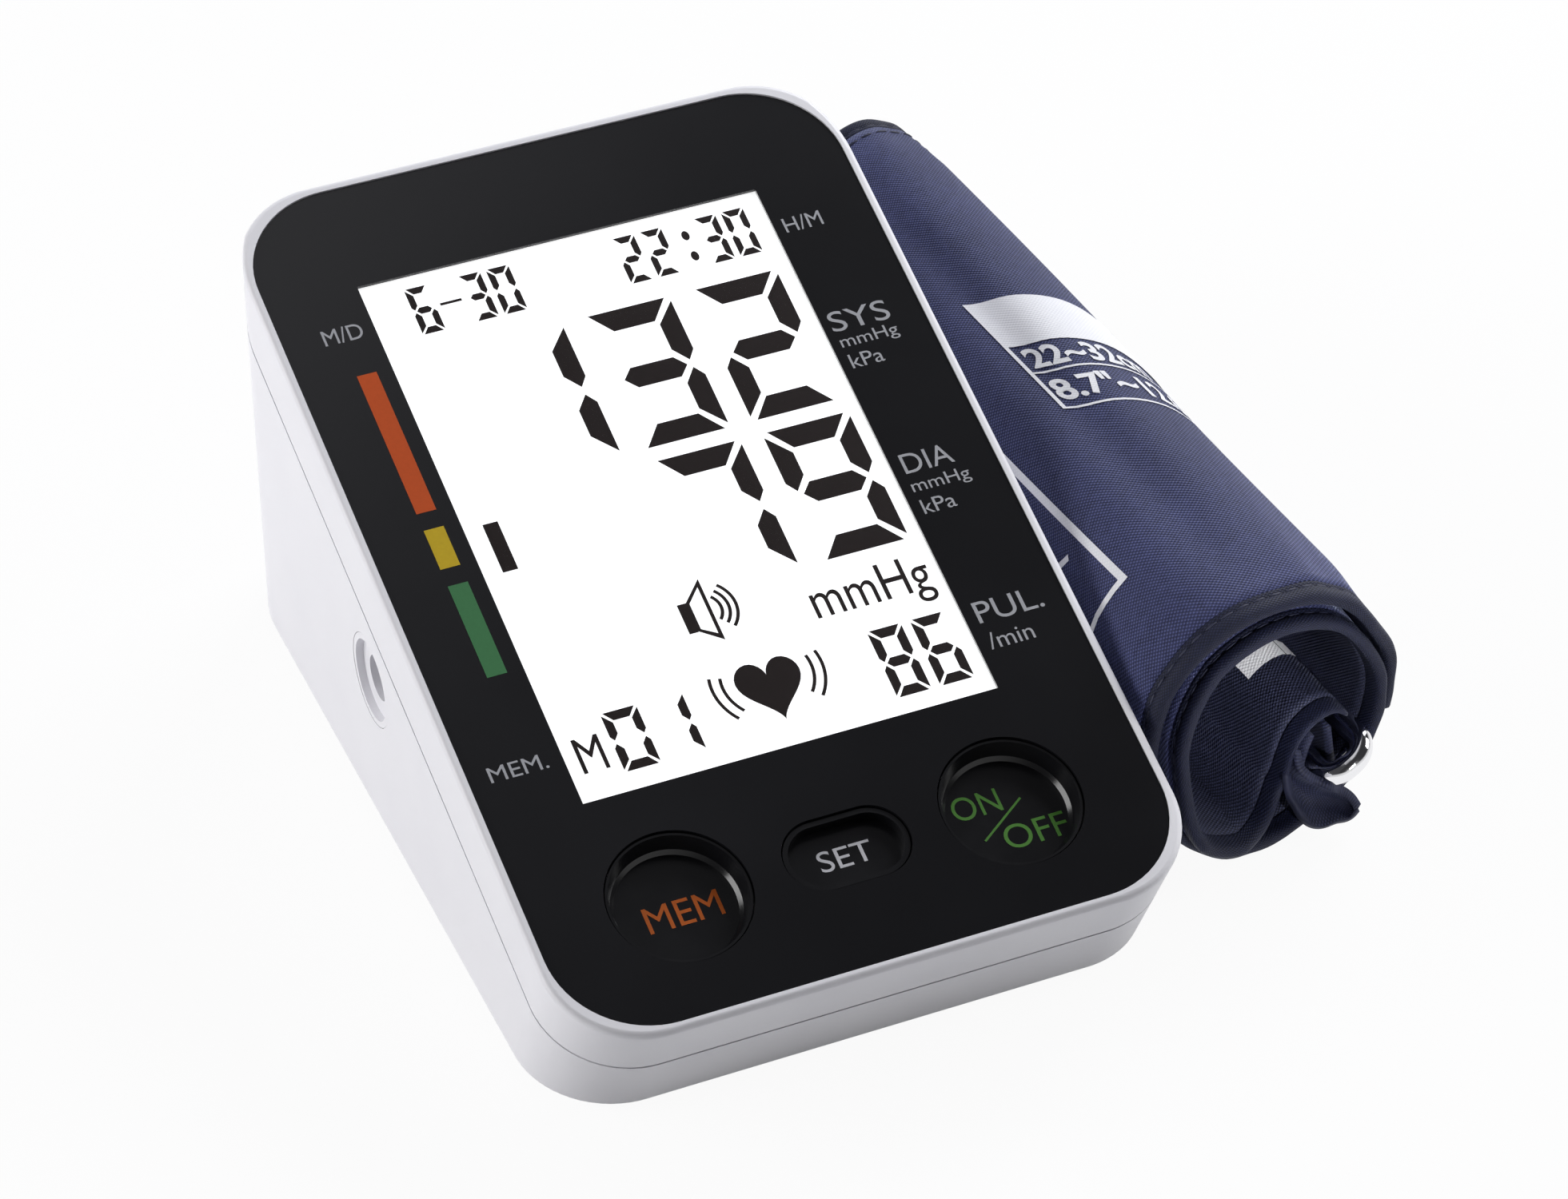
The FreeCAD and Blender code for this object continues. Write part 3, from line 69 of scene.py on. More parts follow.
class Wire:
    """A value in a finish. Sums and products of wires add the Math nodes for them."""

    def __init__(self, socket):
        self.socket = socket

    def node(self, kind, settings=None, inputs=None, output=0):
        """Adds a node of this kind, its settings first, and gives its output."""
        made = self.socket.id_data.nodes.new("ShaderNode" + kind)
        for name, value in (settings or {}).items():
            if name == "stops":
                ramp = made.color_ramp.elements
                while len(ramp) < len(value):
                    ramp.new(1.0)
                for element, (at, colour) in zip(ramp, value):
                    element.position = at
                    element.color = colour
            else:
                setattr(made, name, value)
        for name, value in (inputs or {}).items():
            feed(made.inputs[name], value)
        return Wire(made.outputs[output])

    def noise(self, scale, detail, rough=0.5):
        return self.node("TexNoise", inputs={"Vector": self, "Scale": scale, "Detail": detail,
                                             "Roughness": rough})

    def bump(self, strength, distance, **more):
        return self.node("Bump", inputs={"Height": self, "Strength": strength,
                                         "Distance": distance, **more})

    def math(self, operation, first, second=0.0):
        return self.node("Math", {"operation": operation}, {0: first, 1: second})

    def __add__(self, other):
        return self.math("ADD", self, other)

    def __rsub__(self, other):
        return self.math("SUBTRACT", other, self)

    def __mul__(self, other):
        return self.math("MULTIPLY", self, other)

    def __pow__(self, other):
        return self.math("POWER", self, other)

    __radd__ = __add__


def feed(socket, value):
    """Gives a socket a wire or a plain value."""
    if isinstance(value, Wire):
        socket.id_data.links.new(value.socket, socket)
    else:
        socket.default_value = value


def paint(red, green, blue):
    """A shader colour from a paint colour of 0 to 255 a channel."""
    return tuple((c / 255 / 12.92) if c <= 10 else ((c / 255 + 0.055) / 1.055) ** 2.4
                 for c in (red, green, blue)) + (1.0,)


def blend(wire, share, first, second):
    """Mixes two colours by a share."""
    return wire.node("Mix", {"data_type": "RGBA"}, {0: share, 6: first, 7: second}, 2)


def end_in_mix(tree, share, first, second):
    """Ends a material's tree in a mix of two shader nodes."""
    mix = tree.nodes.new("ShaderNodeMixShader")
    feed(mix.inputs[0], share)
    tree.links.new(first.outputs[0], mix.inputs[1])
    tree.links.new(second.outputs[0], mix.inputs[2])
    tree.links.new(mix.outputs[0], tree.nodes["Material Output"].inputs[0])


def add_piece(name, vertices, faces, material, smooth=False):
    """A new mesh object in the set, its places in metres."""
    mesh = bpy.data.meshes.new(name)
    mesh.from_pydata(vertices, [], faces)
    mesh.materials.append(material)
    if smooth:
        mesh.shade_smooth()
    piece = bpy.data.objects.new(name, mesh)
    bpy.context.scene.collection.objects.link(piece)
    return piece


def lamp(name, place, target, wide, high, power, colour=(1, 1, 1), spread=180):
    """A soft rectangular lamp at a place, turned to a target, with its beam's width."""
    data = bpy.data.lights.new(name, "AREA")
    data.shape = "RECTANGLE"
    data.size, data.size_y = wide, high
    data.energy = power
    data.color = colour
    data.spread = math.radians(spread)
    light = bpy.data.objects.new(name, data)
    bpy.context.scene.collection.objects.link(light)
    light.location = place
    light.rotation_euler = (Vector(place) - Vector(target)).to_track_quat("Z", "Y").to_euler()
    return light


lamp("left_soft_lamp", (-1.02, 0.26, 0.44), (0, 0, 0.03), 0.8, 0.5, 8.4)
lamp("rear_soft_lamp", (0.85, 0.6, 0.78), (0.03, 0, 0.03), 0.7, 0.6, 14.0, (0.94, 0.96, 1.0))
lamp("right_soft_lamp", (1.0, -0.22, 0.62), (0.05, 0, 0.03), 0.5, 0.5, 4.2)
lamp("mouth_lamp", (0.02, -0.95, 0.36), (0.052, -0.055, 0.024), 0.03, 0.03, 0.006, spread=3)

world = bpy.data.worlds.new("tent")
bpy.context.scene.world = world
world.use_nodes = True
tent = world.node_tree.nodes["Background"]
seen_from = Wire(world.node_tree.nodes.new("ShaderNodeTexCoord").outputs["Generated"])
height = seen_from.node("SeparateXYZ", inputs={0: seen_from}, output=2)
leftward = seen_from.node("VectorMath", {"operation": "DOT_PRODUCT"},
                          {0: seen_from, 1: (-0.707, 0.707, 0)}, 1)
sheet_stops = ((0.42, (0, 0, 0, 1)), (0.488, (0.12, 0.12, 0.125, 1)),
               (0.514, (0.56, 0.56, 0.58, 1)))
sheet_light = leftward.node("ValToRGB", {"stops": sheet_stops}, {0: leftward * 0.5 + 0.5})
ceiling_stops = ((0.84, (0.04, 0.04, 0.042, 1)), (0.90, (1, 1, 1, 1)))
overhead = height.node("ValToRGB", {"stops": ceiling_stops}, {0: height})
tent_shade = height.node("Mix", {"data_type": "RGBA", "blend_type": "MULTIPLY"},
                         {0: 1.0, 6: overhead, 7: sheet_light}, 2)
tent_shade = height.node("Mix", {"data_type": "RGBA", "blend_type": "ADD"},
                         {0: 1.0, 6: tent_shade, 7: (0.035, 0.035, 0.037, 1)}, 2)
sight = world.node_tree.nodes.new("ShaderNodeLightPath")
low_down = height.math("MAXIMUM", height.math("MINIMUM", (0.35 - height) * 6, 1.0), 0.0)
straight = height.math("MAXIMUM", Wire(sight.outputs["Is Camera Ray"]),
                       Wire(sight.outputs["Is Glossy Ray"]) * low_down * 0.75)
feed(tent.inputs["Color"], blend(height, straight, tent_shade, (1, 1, 1, 1)))

table_white = bpy.data.materials.new("table_white")
table_white.use_nodes = True
table_nodes = table_white.node_tree
table_shader = table_nodes.nodes["Principled BSDF"]
feed(table_shader.inputs["Base Color"], (0.82, 0.82, 0.83, 1))
feed(table_shader.inputs["Roughness"], 0.9)
feed(table_shader.inputs["Specular IOR Level"], 0.1)
table_glow = table_nodes.nodes.new("ShaderNodeEmission")
ray = table_nodes.nodes.new("ShaderNodeLightPath")
seen = Wire(ray.outputs["Is Camera Ray"])
seen = seen.math("MAXIMUM", seen, Wire(ray.outputs["Is Glossy Ray"]))
seen = seen.math("MAXIMUM", seen, Wire(ray.outputs["Is Transmission Ray"]))
end_in_mix(table_nodes, seen * 0.94, table_shader, table_glow)
table_top = add_piece("table_top", [(-4, -4, 0), (4, -4, 0), (4, 4, 0), (-4, 4, 0)],
                      [(0, 1, 2, 3)], table_white)

# ---------------------------------------------------------------- white case
# The wedge-shaped case is two injection-moulded ABS shells, screwed together from below,
# with the battery cover and the air socket in the same white plastic. The mould leaves a
# fine matt grain, and the gloss is a little uneven.


def finish(name, colour, rough):
    """Starts a finish: the material, its shader, and the wire of places on the piece."""
    material = bpy.data.materials.new(name)
    material.use_nodes = True
    shader = material.node_tree.nodes["Principled BSDF"]
    feed(shader.inputs["Base Color"], colour)
    feed(shader.inputs["Roughness"], rough)
    places = material.node_tree.nodes.new("ShaderNodeTexCoord")
    return material, shader, Wire(places.outputs["Object"])


def moulded(name, colour, shade, rough, grain=900.0, depth=0.00002, cloudy=60.0):
    """Plastic, rubber or metal with a fine grain and slightly uneven colour and gloss."""
    material, shader, spot = finish(name, colour, rough)
    cloud = spot.noise(cloudy, 3.0)
    speck = spot.noise(grain, 2.0)
    feed(shader.inputs["Base Color"], blend(spot, cloud, colour, shade))
    feed(shader.inputs["Roughness"], cloud * 0.12 + (rough - 0.06))
    feed(shader.inputs["Normal"], speck.bump(0.35, depth))
    return material, shader, spot


def dress(material, *names):
    """Gives CAD nodes their finish."""
    for name in names:
        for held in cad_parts[name].material_slots:
            held.material = material


white_abs, white_shader, spot = moulded("white_abs", paint(238, 237, 241), paint(233, 232, 237),
                                        0.42, 1600.0, 0.00003)
feed(white_shader.inputs["Specular IOR Level"], 0.4)
dress(white_abs, "upper_case", "lower_case", "battery_cover", "air_socket")

# ---------------------------------------------------------------- feet and screws
# Four grey rubber feet sit in wells round the case screws, cross-recessed steel screws
# that go up through posts into the upper shell.
foot_rubber = moulded("foot_rubber", paint(58, 58, 60), paint(48, 48, 50), 0.75, 700.0,
                      0.00005)[0]
dress(foot_rubber, "rubber_foot_1", "rubber_foot_2", "rubber_foot_3", "rubber_foot_4")
bright_steel, steel_shader, spot = moulded("bright_steel", paint(172, 172, 176),
                                           paint(150, 150, 155), 0.32, 2500.0)
feed(steel_shader.inputs["Metallic"], 1.0)
dress(bright_steel, "case_screws", "board_screws")

# ---------------------------------------------------------------- front panel
# A glossy black acrylic panel lies in the case border. Its lettering and the three bars of
# the pressure scale are screen-printed; the maker's field above the display is left plain.
face_tilt = math.radians(18.3)
face_foot = Vector((-0.0256, -0.0904, 0.025))
panel_wide = 100.0
ink_lift = 0.03


def on_face(x, up, out):
    """Place on the face: millimetres from the panel's left edge, up the face, and out."""
    return face_foot + Vector((x - panel_wide / 2,
                               up * math.cos(face_tilt) - out * math.sin(face_tilt),
                               up * math.sin(face_tilt) + out * math.cos(face_tilt))) * 0.001


def lettering(words, left, right, low, high, weight=0.0):
    """Flat outline faces of some words, fitted into a box: points and faces."""
    writing = bpy.data.curves.new("writing", "FONT")
    writing.body = words
    writing.offset = weight
    writing.resolution_u = 6
    holder = bpy.data.objects.new("writing", writing)
    bpy.context.scene.collection.objects.link(holder)
    bpy.context.view_layer.update()
    mesh = bpy.data.meshes.new_from_object(
        holder.evaluated_get(bpy.context.evaluated_depsgraph_get()))
    bpy.data.objects.remove(holder)
    flat = np.array([v.co[:2] for v in mesh.vertices])
    least, most = flat.min(0), flat.max(0)
    grow = np.array([right - left, high - low]) / (most - least)
    points = (flat - least) * grow + (left, low)
    return points.tolist(), [tuple(p.vertices) for p in mesh.polygons]


def polygon(*points):
    """One flat face: points and faces."""
    return list(points), [tuple(range(len(points)))]


def bar(left, right, low, high):
    return polygon((left, low), (right, low), (right, high), (left, high))


def arc_band(x, up, radius, stroke, start, end, steps=14):
    """Part of a ring between two angles in degrees: points and faces."""
    points, faces = [], []
    for i in range(steps + 1):
        angle = math.radians(start + (end - start) * i / steps)
        for r in (radius - stroke / 2, radius + stroke / 2):
            points.append((x + r * math.cos(angle), up + r * math.sin(angle)))
        if i:
            faces.append((2 * i - 2, 2 * i - 1, 2 * i + 1, 2 * i))
    return points, faces


def joined(shapes):
    """Some flat shapes as one: points and faces."""
    points, faces = [], []
    for more, rings in shapes:
        faces += [tuple(len(points) + i for i in ring) for ring in rings]
        points += more
    return points, faces


def print_on(name, shapes, surface, material, body):
    """Prints flat shapes on a surface, a rule that gives a flat point its place."""
    points, faces = joined(shapes)
    piece = add_piece(name, [surface(*point) for point in points], faces, material)
    if piece.data.polygons[0].normal.dot(on_face(0, 0, 1) - on_face(0, 0, 0)) < 0:
        piece.data.flip_normals()
    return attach(piece, body)


def ink(name, colour, rough=0.45):
    """Screen-print ink with a slightly uneven cover."""
    material, shader, spot = finish(name, colour, rough)
    cover = spot.noise(1500.0, 2.0)
    darker = tuple(c * 0.86 for c in colour[:3]) + (1.0,)
    feed(shader.inputs["Base Color"], blend(spot, cover, darker, colour))
    feed(shader.inputs["Specular IOR Level"], 0.15)
    return material


panel_black, panel_shader, spot = finish("panel_black", paint(22, 22, 24), 0.16)
haze = spot.noise(25.0, 4.0)
feed(panel_shader.inputs["Roughness"], haze * 0.10 + 0.10)
feed(panel_shader.inputs["Base Color"], blend(spot, haze, paint(20, 20, 22), paint(25, 25, 28)))
orange_peel = spot.noise(220.0, 1.0)
feed(panel_shader.inputs["Normal"], orange_peel.bump(0.08, 0.00003))
dress(panel_black, "front_panel")


def panel_place(x, up):
    return on_face(x, up, ink_lift)


label_grey = ink("label_grey", paint(172, 173, 178))
print_on("panel_lettering", [
    lettering("M/D", 6.5, 13.0, 129.25, 132.25),
    lettering("H/M", 84.8, 91.3, 129.1, 132.0),
    lettering("SYS", 84.5, 94.6, 108.5, 112.4),
    lettering("mmHg", 84.7, 94.6, 104.6, 107.6),
    lettering("kPa", 84.8, 90.4, 101.1, 103.8),
    lettering("DIA", 85.0, 93.4, 79.8, 83.5),
    lettering("mmHg", 84.8, 94.7, 75.5, 78.5),
    lettering("kPa", 84.9, 90.5, 71.9, 74.6),
    lettering("PUL.", 85.1, 96.2, 50.5, 54.4),
    lettering("/min", 85.0, 92.5, 45.6, 48.6),
    lettering("MEM.", 3.3, 12.6, 46.4, 49.1)],
    panel_place, label_grey, "monitor")
for name, colour, low, high in (("scale_bar_orange", paint(196, 82, 34), 95.3, 122.5),
                                ("scale_bar_yellow", paint(200, 170, 38), 84.6, 92.1),
                                ("scale_bar_green", paint(66, 122, 78), 64.1, 81.4)):
    print_on(name, [bar(9.15, 12.4, low, high)], panel_place, ink(name, colour), "monitor")

# ---------------------------------------------------------------- display
# Behind a clear acrylic lens lies a segment display on a white backlight. Its dark
# segments show the date, the time, two pressures, the pulse and the memory place.
lens_clear, lens_shader, spot = finish("lens_clear", (1, 1, 1, 1), 0.03)
lens_through = lens_clear.node_tree.nodes.new("ShaderNodeBsdfTransparent")
lens_rim = spot.node("LayerWeight", inputs={"Blend": 0.12})
end_in_mix(lens_clear.node_tree, lens_rim * 0.5, lens_through, lens_shader)
dress(lens_clear, "display_lens")

lcd_white, lcd_shader, spot = finish("lcd_white", paint(215, 218, 220), 0.3)
lit = spot.noise(40.0, 1.0)
feed(lcd_shader.inputs["Emission Color"],
     blend(spot, lit, (0.80, 0.80, 0.80, 1), (0.84, 0.84, 0.84, 1)))
feed(lcd_shader.inputs["Emission Strength"], 1.0)
dress(lcd_white, "lcd_glass")
guide_clear = moulded("guide_clear", paint(235, 238, 240), paint(228, 232, 236), 0.2)[0]
dress(guide_clear, "backlight_guide")

# The seven parts of a figure go by letters, clockwise from the top, with g in the middle.
LIT = {"0": "abcdef", "1": "bc", "2": "abged", "3": "abgcd", "6": "afgedc", "7": "abc",
       "8": "abcdefg", "9": "abcdfg"}
# The display lies this far out of the face, and its signs are moved by what the sight line
# runs across and up the face for each millimetre of depth.
display_level = -0.62
sight_across = 0.37
sight_up = 0.574


def digit(figure, right, top, wide, high, stroke):
    """The lit segments of one figure, each cut at its ends as on display glass."""
    left, low = right - wide, top - high
    gap, thick, middle = stroke * 0.25, stroke * 1.15, high / 2
    upright = [(0, high - gap), (0, middle + stroke * 0.76),
               (stroke * 0.39, middle + stroke * 0.22), (stroke, middle + stroke),
               (stroke, high - thick - gap)]
    level = [(gap, high), (wide - gap, high), (wide - thick, high - thick),
             (thick, high - thick)]
    shapes = {
        "a": level,
        "d": [(x, high - y) for x, y in level],
        "f": upright,
        "b": [(wide - x, y) for x, y in upright],
        "e": [(x, high - y) for x, y in upright],
        "c": [(wide - x, high - y) for x, y in upright],
        "g": [(stroke * 0.6, middle), (stroke * 1.1, middle + thick / 2),
              (wide - stroke * 1.1, middle + thick / 2), (wide - stroke * 0.6, middle),
              (wide - stroke * 1.1, middle - thick / 2), (stroke * 1.1, middle - thick / 2)]}
    return [polygon(*((left + x, low + y) for x, y in shapes[part])) for part in LIT[figure]]


def dot(x, up, wide, high, steps=20):
    return polygon(*((x + wide * math.cos(2 * math.pi * i / steps),
                      up + high * math.sin(2 * math.pi * i / steps)) for i in range(steps)))


def heart(x, top, wide, high, steps=48):
    """The pulse sign's heart."""
    points = []
    for i in range(steps):
        turn = 2 * math.pi * i / steps
        across = 16 * math.sin(turn) ** 3
        rise = (13 * math.cos(turn) - 5 * math.cos(2 * turn) - 2 * math.cos(3 * turn)
                - math.cos(4 * turn))
        points.append((x + across / 32 * wide, top + (rise - 11.9) / 28.9 * high))
    return polygon(*points)


segments = []
for figures, rights, top, *sizes in (("132", (43.5, 61.8, 80.3), 122.9, 14.75, 26.5, 3.4),
                                     ("79", (62.3, 80.8), 93.7, 14.75, 25.1, 3.4),
                                     ("630", (25.6, 34.6, 39.4), 136.2, 3.8, 9.1, 1.08),
                                     ("2230", (60.8, 65.5, 74.9, 79.7), 136.1, 3.8, 9.2, 1.08),
                                     ("01", (28.9, 36.3), 52.9, 5.85, 10.7, 1.4),
                                     ("86", (73.3, 80.5), 54.4, 5.7, 12.5, 1.5)):
    for figure, right in zip(figures, rights):
        segments += digit(figure, right, top, *sizes)
segments += [bar(26.4, 30.0, 131.65, 132.15), dot(68.8, 133.4, 0.65, 0.95),
             dot(68.8, 129.2, 0.65, 0.95), bar(18.1, 20.6, 81.3, 90.5),
             lettering("mmHg", 61.5, 81.2, 56.7, 65.5), lettering("M", 17.1, 21.3, 43.7, 49.9),
             heart(49.9, 54.5, 10.6, 11.0)]
for radius in (7.3, 9.0):
    segments += [arc_band(49.9, 51.6, radius, 0.55, -40, 14),
                 arc_band(49.9, 51.6, radius, 0.55, 166, 220)]
for radius in (3.0, 4.2, 5.4):
    segments.append(arc_band(44.9, 65.5, radius, 0.55, -46, 46))
cone_outside = ((42.9, 67.7), (46.3, 71.3), (46.3, 59.7), (42.9, 62.3))
cone_inside = ((43.4, 67.4), (45.7, 69.9), (45.7, 61.1), (43.4, 62.6))
segments += [bar(41.4, 42.9, 62.2, 67.7)]
for i in range(4):
    segments.append(polygon(cone_outside[i], cone_outside[(i + 1) % 4],
                            cone_inside[(i + 1) % 4], cone_inside[i]))
segment_dark = ink("segment_dark", paint(34, 24, 23), 0.6)
print_on("display_segments", segments,
         lambda x, up: on_face(x - display_level * sight_across, up - display_level * sight_up,
                               display_level),
         segment_dark, "monitor")

# ---------------------------------------------------------------- buttons
# Three dished buttons of glossy black plastic sit low in the panel: two round ones and a
# small long one between them. Their words are printed in the dish.
button_gloss, button_shader, spot = finish("button_gloss", paint(20, 20, 22), 0.2)
smear = spot.noise(90.0, 4.0)
feed(button_shader.inputs["Roughness"], smear * 0.16 + 0.12)
feed(button_shader.inputs["Base Color"], blend(spot, smear, paint(18, 18, 20), paint(24, 24, 27)))
dress(button_gloss, "memory_button", "set_button", "power_button")


def dish_of(node):
    """A rule that gives a flat point its place on a button's top."""
    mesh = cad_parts[node].data
    tree = BVHTree.FromPolygons([v.co for v in mesh.vertices],
                                [p.vertices for p in mesh.polygons])
    down = (on_face(0, 0, 0) - on_face(0, 0, 1)).normalized()

    def place(x, up):
        hit = tree.ray_cast(on_face(x, up, 8.0), down)[0]
        return hit - down * ink_lift * 0.001
    return place


print_on("memory_legend", [lettering("MEM", 17.8, 29.8, 16.9, 21.3)], dish_of("memory_button"),
         ink("legend_orange", paint(196, 98, 38)), "memory_button")
print_on("set_legend", [lettering("SET", 45.7, 54.4, 17.9, 21.5)], dish_of("set_button"),
         ink("legend_white", paint(205, 205, 210)), "set_button")
print_on("power_legend", [lettering("ON", 69.1, 76.9, 20.6, 24.7),
                          lettering("OFF", 74.9, 85.2, 13.7, 17.9),
                          polygon((71.85, 16.55), (72.05, 16.25), (80.2, 21.7), (80.0, 22.0))],
         dish_of("power_button"), ink("legend_green", paint(84, 140, 58)), "power_button")

# ---------------------------------------------------------------- inside the case
# Circuit board, switches, pump, valve, air tubes, speaker, power socket and batteries,
# each in its own plastic, rubber or metal.
for name, colour, shade, rough, metal, nodes in (
        ("frame_white", (225, 224, 219), (214, 213, 207), 0.5, 0.0,
         ("lcd_frame", "pump_head", "air_manifold")),
        ("solder_mask", (28, 104, 58), (20, 88, 48), 0.35, 0.0, ("main_board",)),
        ("black_epoxy", (30, 30, 32), (38, 38, 40), 0.5, 0.0,
         ("board_chips", "memory_switch", "set_switch", "power_switch", "release_valve",
          "pressure_sensor", "speaker", "power_socket")),
        ("spring_nickel", (196, 194, 188), (176, 174, 168), 0.28, 1.0,
         ("lcd_pins", "contact_plate_left", "contact_plate_right", "contact_springs")),
        ("motor_steel", (178, 179, 182), (160, 161, 165), 0.35, 1.0, ("pump_motor",)),
        ("tube_silicone", (214, 213, 206), (204, 203, 196), 0.4, 0.0,
         ("pump_tube", "sensor_tube")),
        ("cell_sleeve", (44, 62, 84), (36, 52, 72), 0.3, 0.0,
         ("battery_cell_1", "battery_cell_2", "battery_cell_3", "battery_cell_4"))):
    material, shader, spot = moulded(name, paint(*colour), paint(*shade), rough)
    feed(shader.inputs["Metallic"], metal)
    dress(material, *nodes)

# ---------------------------------------------------------------- cuff cloth
# The arm cuff is a rolled-up band of navy oxford nylon on both faces, with the air bladder
# between them. It is squeezed narrower at its back end, and puckers where its hem is sewn.
cuff_foot = Vector((0.0387, -0.0654, 0.0))
cuff_turn = math.radians(6.5)
cuff_wide = 146.0
band_wide = 142.5
half_stack = 1.6
cloth_thick = 0.9
hem_wide = 3.5
table_level = 0.0001
case_side = 0.0261
# Middle line of the roll at its front and back ends, in millimetres across and up, from the
# free flap round the outside and in to the ring.
front_line = np.array((
    (35.3, 15.2), (35.5, 20.6), (34.8, 26.4), (31.6, 32.5), (27.6, 38.6), (20.6, 44.3),
    (11.6, 46.2), (2.0, 44.6), (-5.5, 39.2), (-9.9, 30.8), (-10.4, 20.8), (-6.7, 11.5),
    (0.4, 4.5), (9.5, 1.9), (19.6, 3.2), (28.3, 8.2), (32.3, 16.2), (32.2, 24.9), (29.0, 31.4),
    (25.4, 36.0), (20.4, 39.3), (14.0, 40.9), (7.2, 40.0), (-0.4, 35.4), (-5.2, 27.4),
    (-5.9, 18.0), (-3.8, 10.4), (1.6, 6.6), (9.0, 5.4), (13.8, 8.8), (15.4, 14.0),
    (17.4, 18.9), (21.0, 21.3), (23.8, 21.2), (25.6, 19.8)))
back_line = np.array((
    (36.4, 17.2), (36.9, 22.6), (36.5, 28.2), (33.8, 34.8), (29.8, 41.2), (25.2, 46.2),
    (19.4, 47.9), (13.5, 45.2), (9.5, 39.6), (7.1, 32.7), (6.3, 24.0), (7.7, 14.7),
    (11.5, 6.5), (18.0, 1.9), (25.0, 3.4), (30.2, 9.3), (32.8, 18.3), (33.1, 26.8),
    (30.9, 32.9), (27.0, 37.8), (22.9, 41.9), (19.3, 43.3), (15.8, 41.4), (12.9, 36.4),
    (10.9, 29.5), (10.3, 22.6), (11.1, 17.4), (12.2, 14.7), (14.2, 13.8), (16.2, 14.7),
    (17.2, 17.2), (18.6, 19.9), (21.1, 21.4), (23.9, 21.2), (25.6, 19.8)))
# How far the turns stand back of an even roll, or in front of it, at some stations.
lead_station = (0, 12, 22, 60, 93, 98, 106, 114, 122, 172, 184, 196, 203, 210)
lead = (2.6, 2.0, 0.6, 1.2, -3.5, -3.5, -2.6, -1.0, 0.5, 1.0, -1.5, -7.2, -6.2, 0.0)


def run_of(line):
    """How far each point of a line lies along it."""
    return np.r_[0, np.cumsum(np.linalg.norm(np.diff(line, axis=0), axis=1))]


station = run_of((front_line + back_line) / 2)


def bends_of(at, through):
    """Second slopes of the smooth line that passes through points at these stations."""
    step = np.diff(at)
    size = len(at)
    system, answer = np.eye(size), np.zeros(through.shape)
    for i in range(1, size - 1):
        system[i, i - 1:i + 2] = step[i - 1], 2 * (step[i - 1] + step[i]), step[i]
        answer[i] = 6 * ((through[i + 1] - through[i]) / step[i]
                         - (through[i] - through[i - 1]) / step[i - 1])
    return np.linalg.solve(system, answer)


roll_ends = [(line, bends_of(station, line)) for line in (front_line, back_line)]
free_until = station[18]
thin_from = station[28]


def along_line(line, bend, run, at):
    """Points and slopes of a smooth line at some places along its run."""
    i = np.clip(np.searchsorted(run, at) - 1, 0, len(run) - 2)
    step = (run[i + 1] - run[i])[..., None]
    far = (at - run[i])[..., None] / step
    near = 1 - far
    point = (near * line[i] + far * line[i + 1]
             + ((near ** 3 - near) * bend[i] + (far ** 3 - far) * bend[i + 1]) * step ** 2 / 6)
    slope = ((line[i + 1] - line[i]) / step
             + ((3 * far ** 2 - 1) * bend[i + 1] - (3 * near ** 2 - 1) * bend[i]) * step / 6)
    return point, slope


def in_cuff(across, behind, rise):
    """Set place, in metres, of a place in the cuff: across, behind its front end, up."""
    return np.stack([cuff_foot.x + (across * math.cos(cuff_turn)
                                    - behind * math.sin(cuff_turn)) * 0.001,
                     cuff_foot.y + (across * math.sin(cuff_turn)
                                    + behind * math.cos(cuff_turn)) * 0.001,
                     rise * 0.001], -1)


def edge_pinch(behind):
    """Share of the roll's thickness left near its sewn edges, where no bladder lies."""
    inward = np.clip(np.minimum(behind, band_wide - behind) / 12, 0, 1)
    return 0.56 + 0.44 * inward ** 2 * (3 - 2 * inward)


def on_roll(at, behind, out):
    """Set place of a station of the roll, this far behind its front edge and off its middle."""
    at, behind, out = np.broadcast_arrays(*(np.asarray(v, float) for v in (at, behind, out)))
    out = out * edge_pinch(behind) * (1 - 0.5 * np.clip((at - thin_from) / 10, 0, 1))
    behind = behind + np.interp(at, lead_station, lead)
    share = (behind / cuff_wide)[..., None]
    (near, near_slope), (far, far_slope) = (along_line(*end, station, at) for end in roll_ends)
    point = near * (1 - share) + far * share
    slope = near_slope * (1 - share) + far_slope * share
    slope /= np.linalg.norm(slope, axis=-1, keepdims=True)
    place = in_cuff(point[..., 0] + slope[..., 1] * out, behind,
                    point[..., 1] - slope[..., 0] * out)
    place[..., 2] = np.maximum(place[..., 2], table_level)  # cloth lies flat on the table,
    place[..., 0] = np.maximum(place[..., 0], case_side)  # and against the side of the case
    return place


def swell(at, behind):
    """How far the outermost turn stands off its line: sewing puckers and soft folds."""
    at, behind = np.broadcast_arrays(np.asarray(at, float), np.asarray(behind, float))
    fade = np.clip((free_until - at) / 12, 0, 1) * np.clip(at / 6, 0, 1)
    puckers = 0.5 + 0.5 * np.sin(at * 0.55 + 1.9 * np.sin(at * 0.19) + behind * 0.07)
    near_hem = (np.exp(-np.maximum(behind - 5, 0) / 11) * 0.6
                + np.exp(-np.maximum(band_wide - 6 - behind, 0) / 8) * 0.35)
    slant = at - 0.04 * (behind - 30)
    ridge = 2.6 * np.exp(-((slant - 53.0) / 6) ** 2)
    valley = 2.0 * np.exp(-((slant - 44.0) / 3.4) ** 2)
    ripple = 0.5 * np.sin(at * 0.21 - behind * 0.05 + 1.9)
    folds = ridge - valley + ripple + 0.9
    middle = np.sin(np.clip(behind / band_wide, 0, 1) * math.pi) ** 0.6
    return fade * (puckers * near_hem + folds * 0.6 * middle)


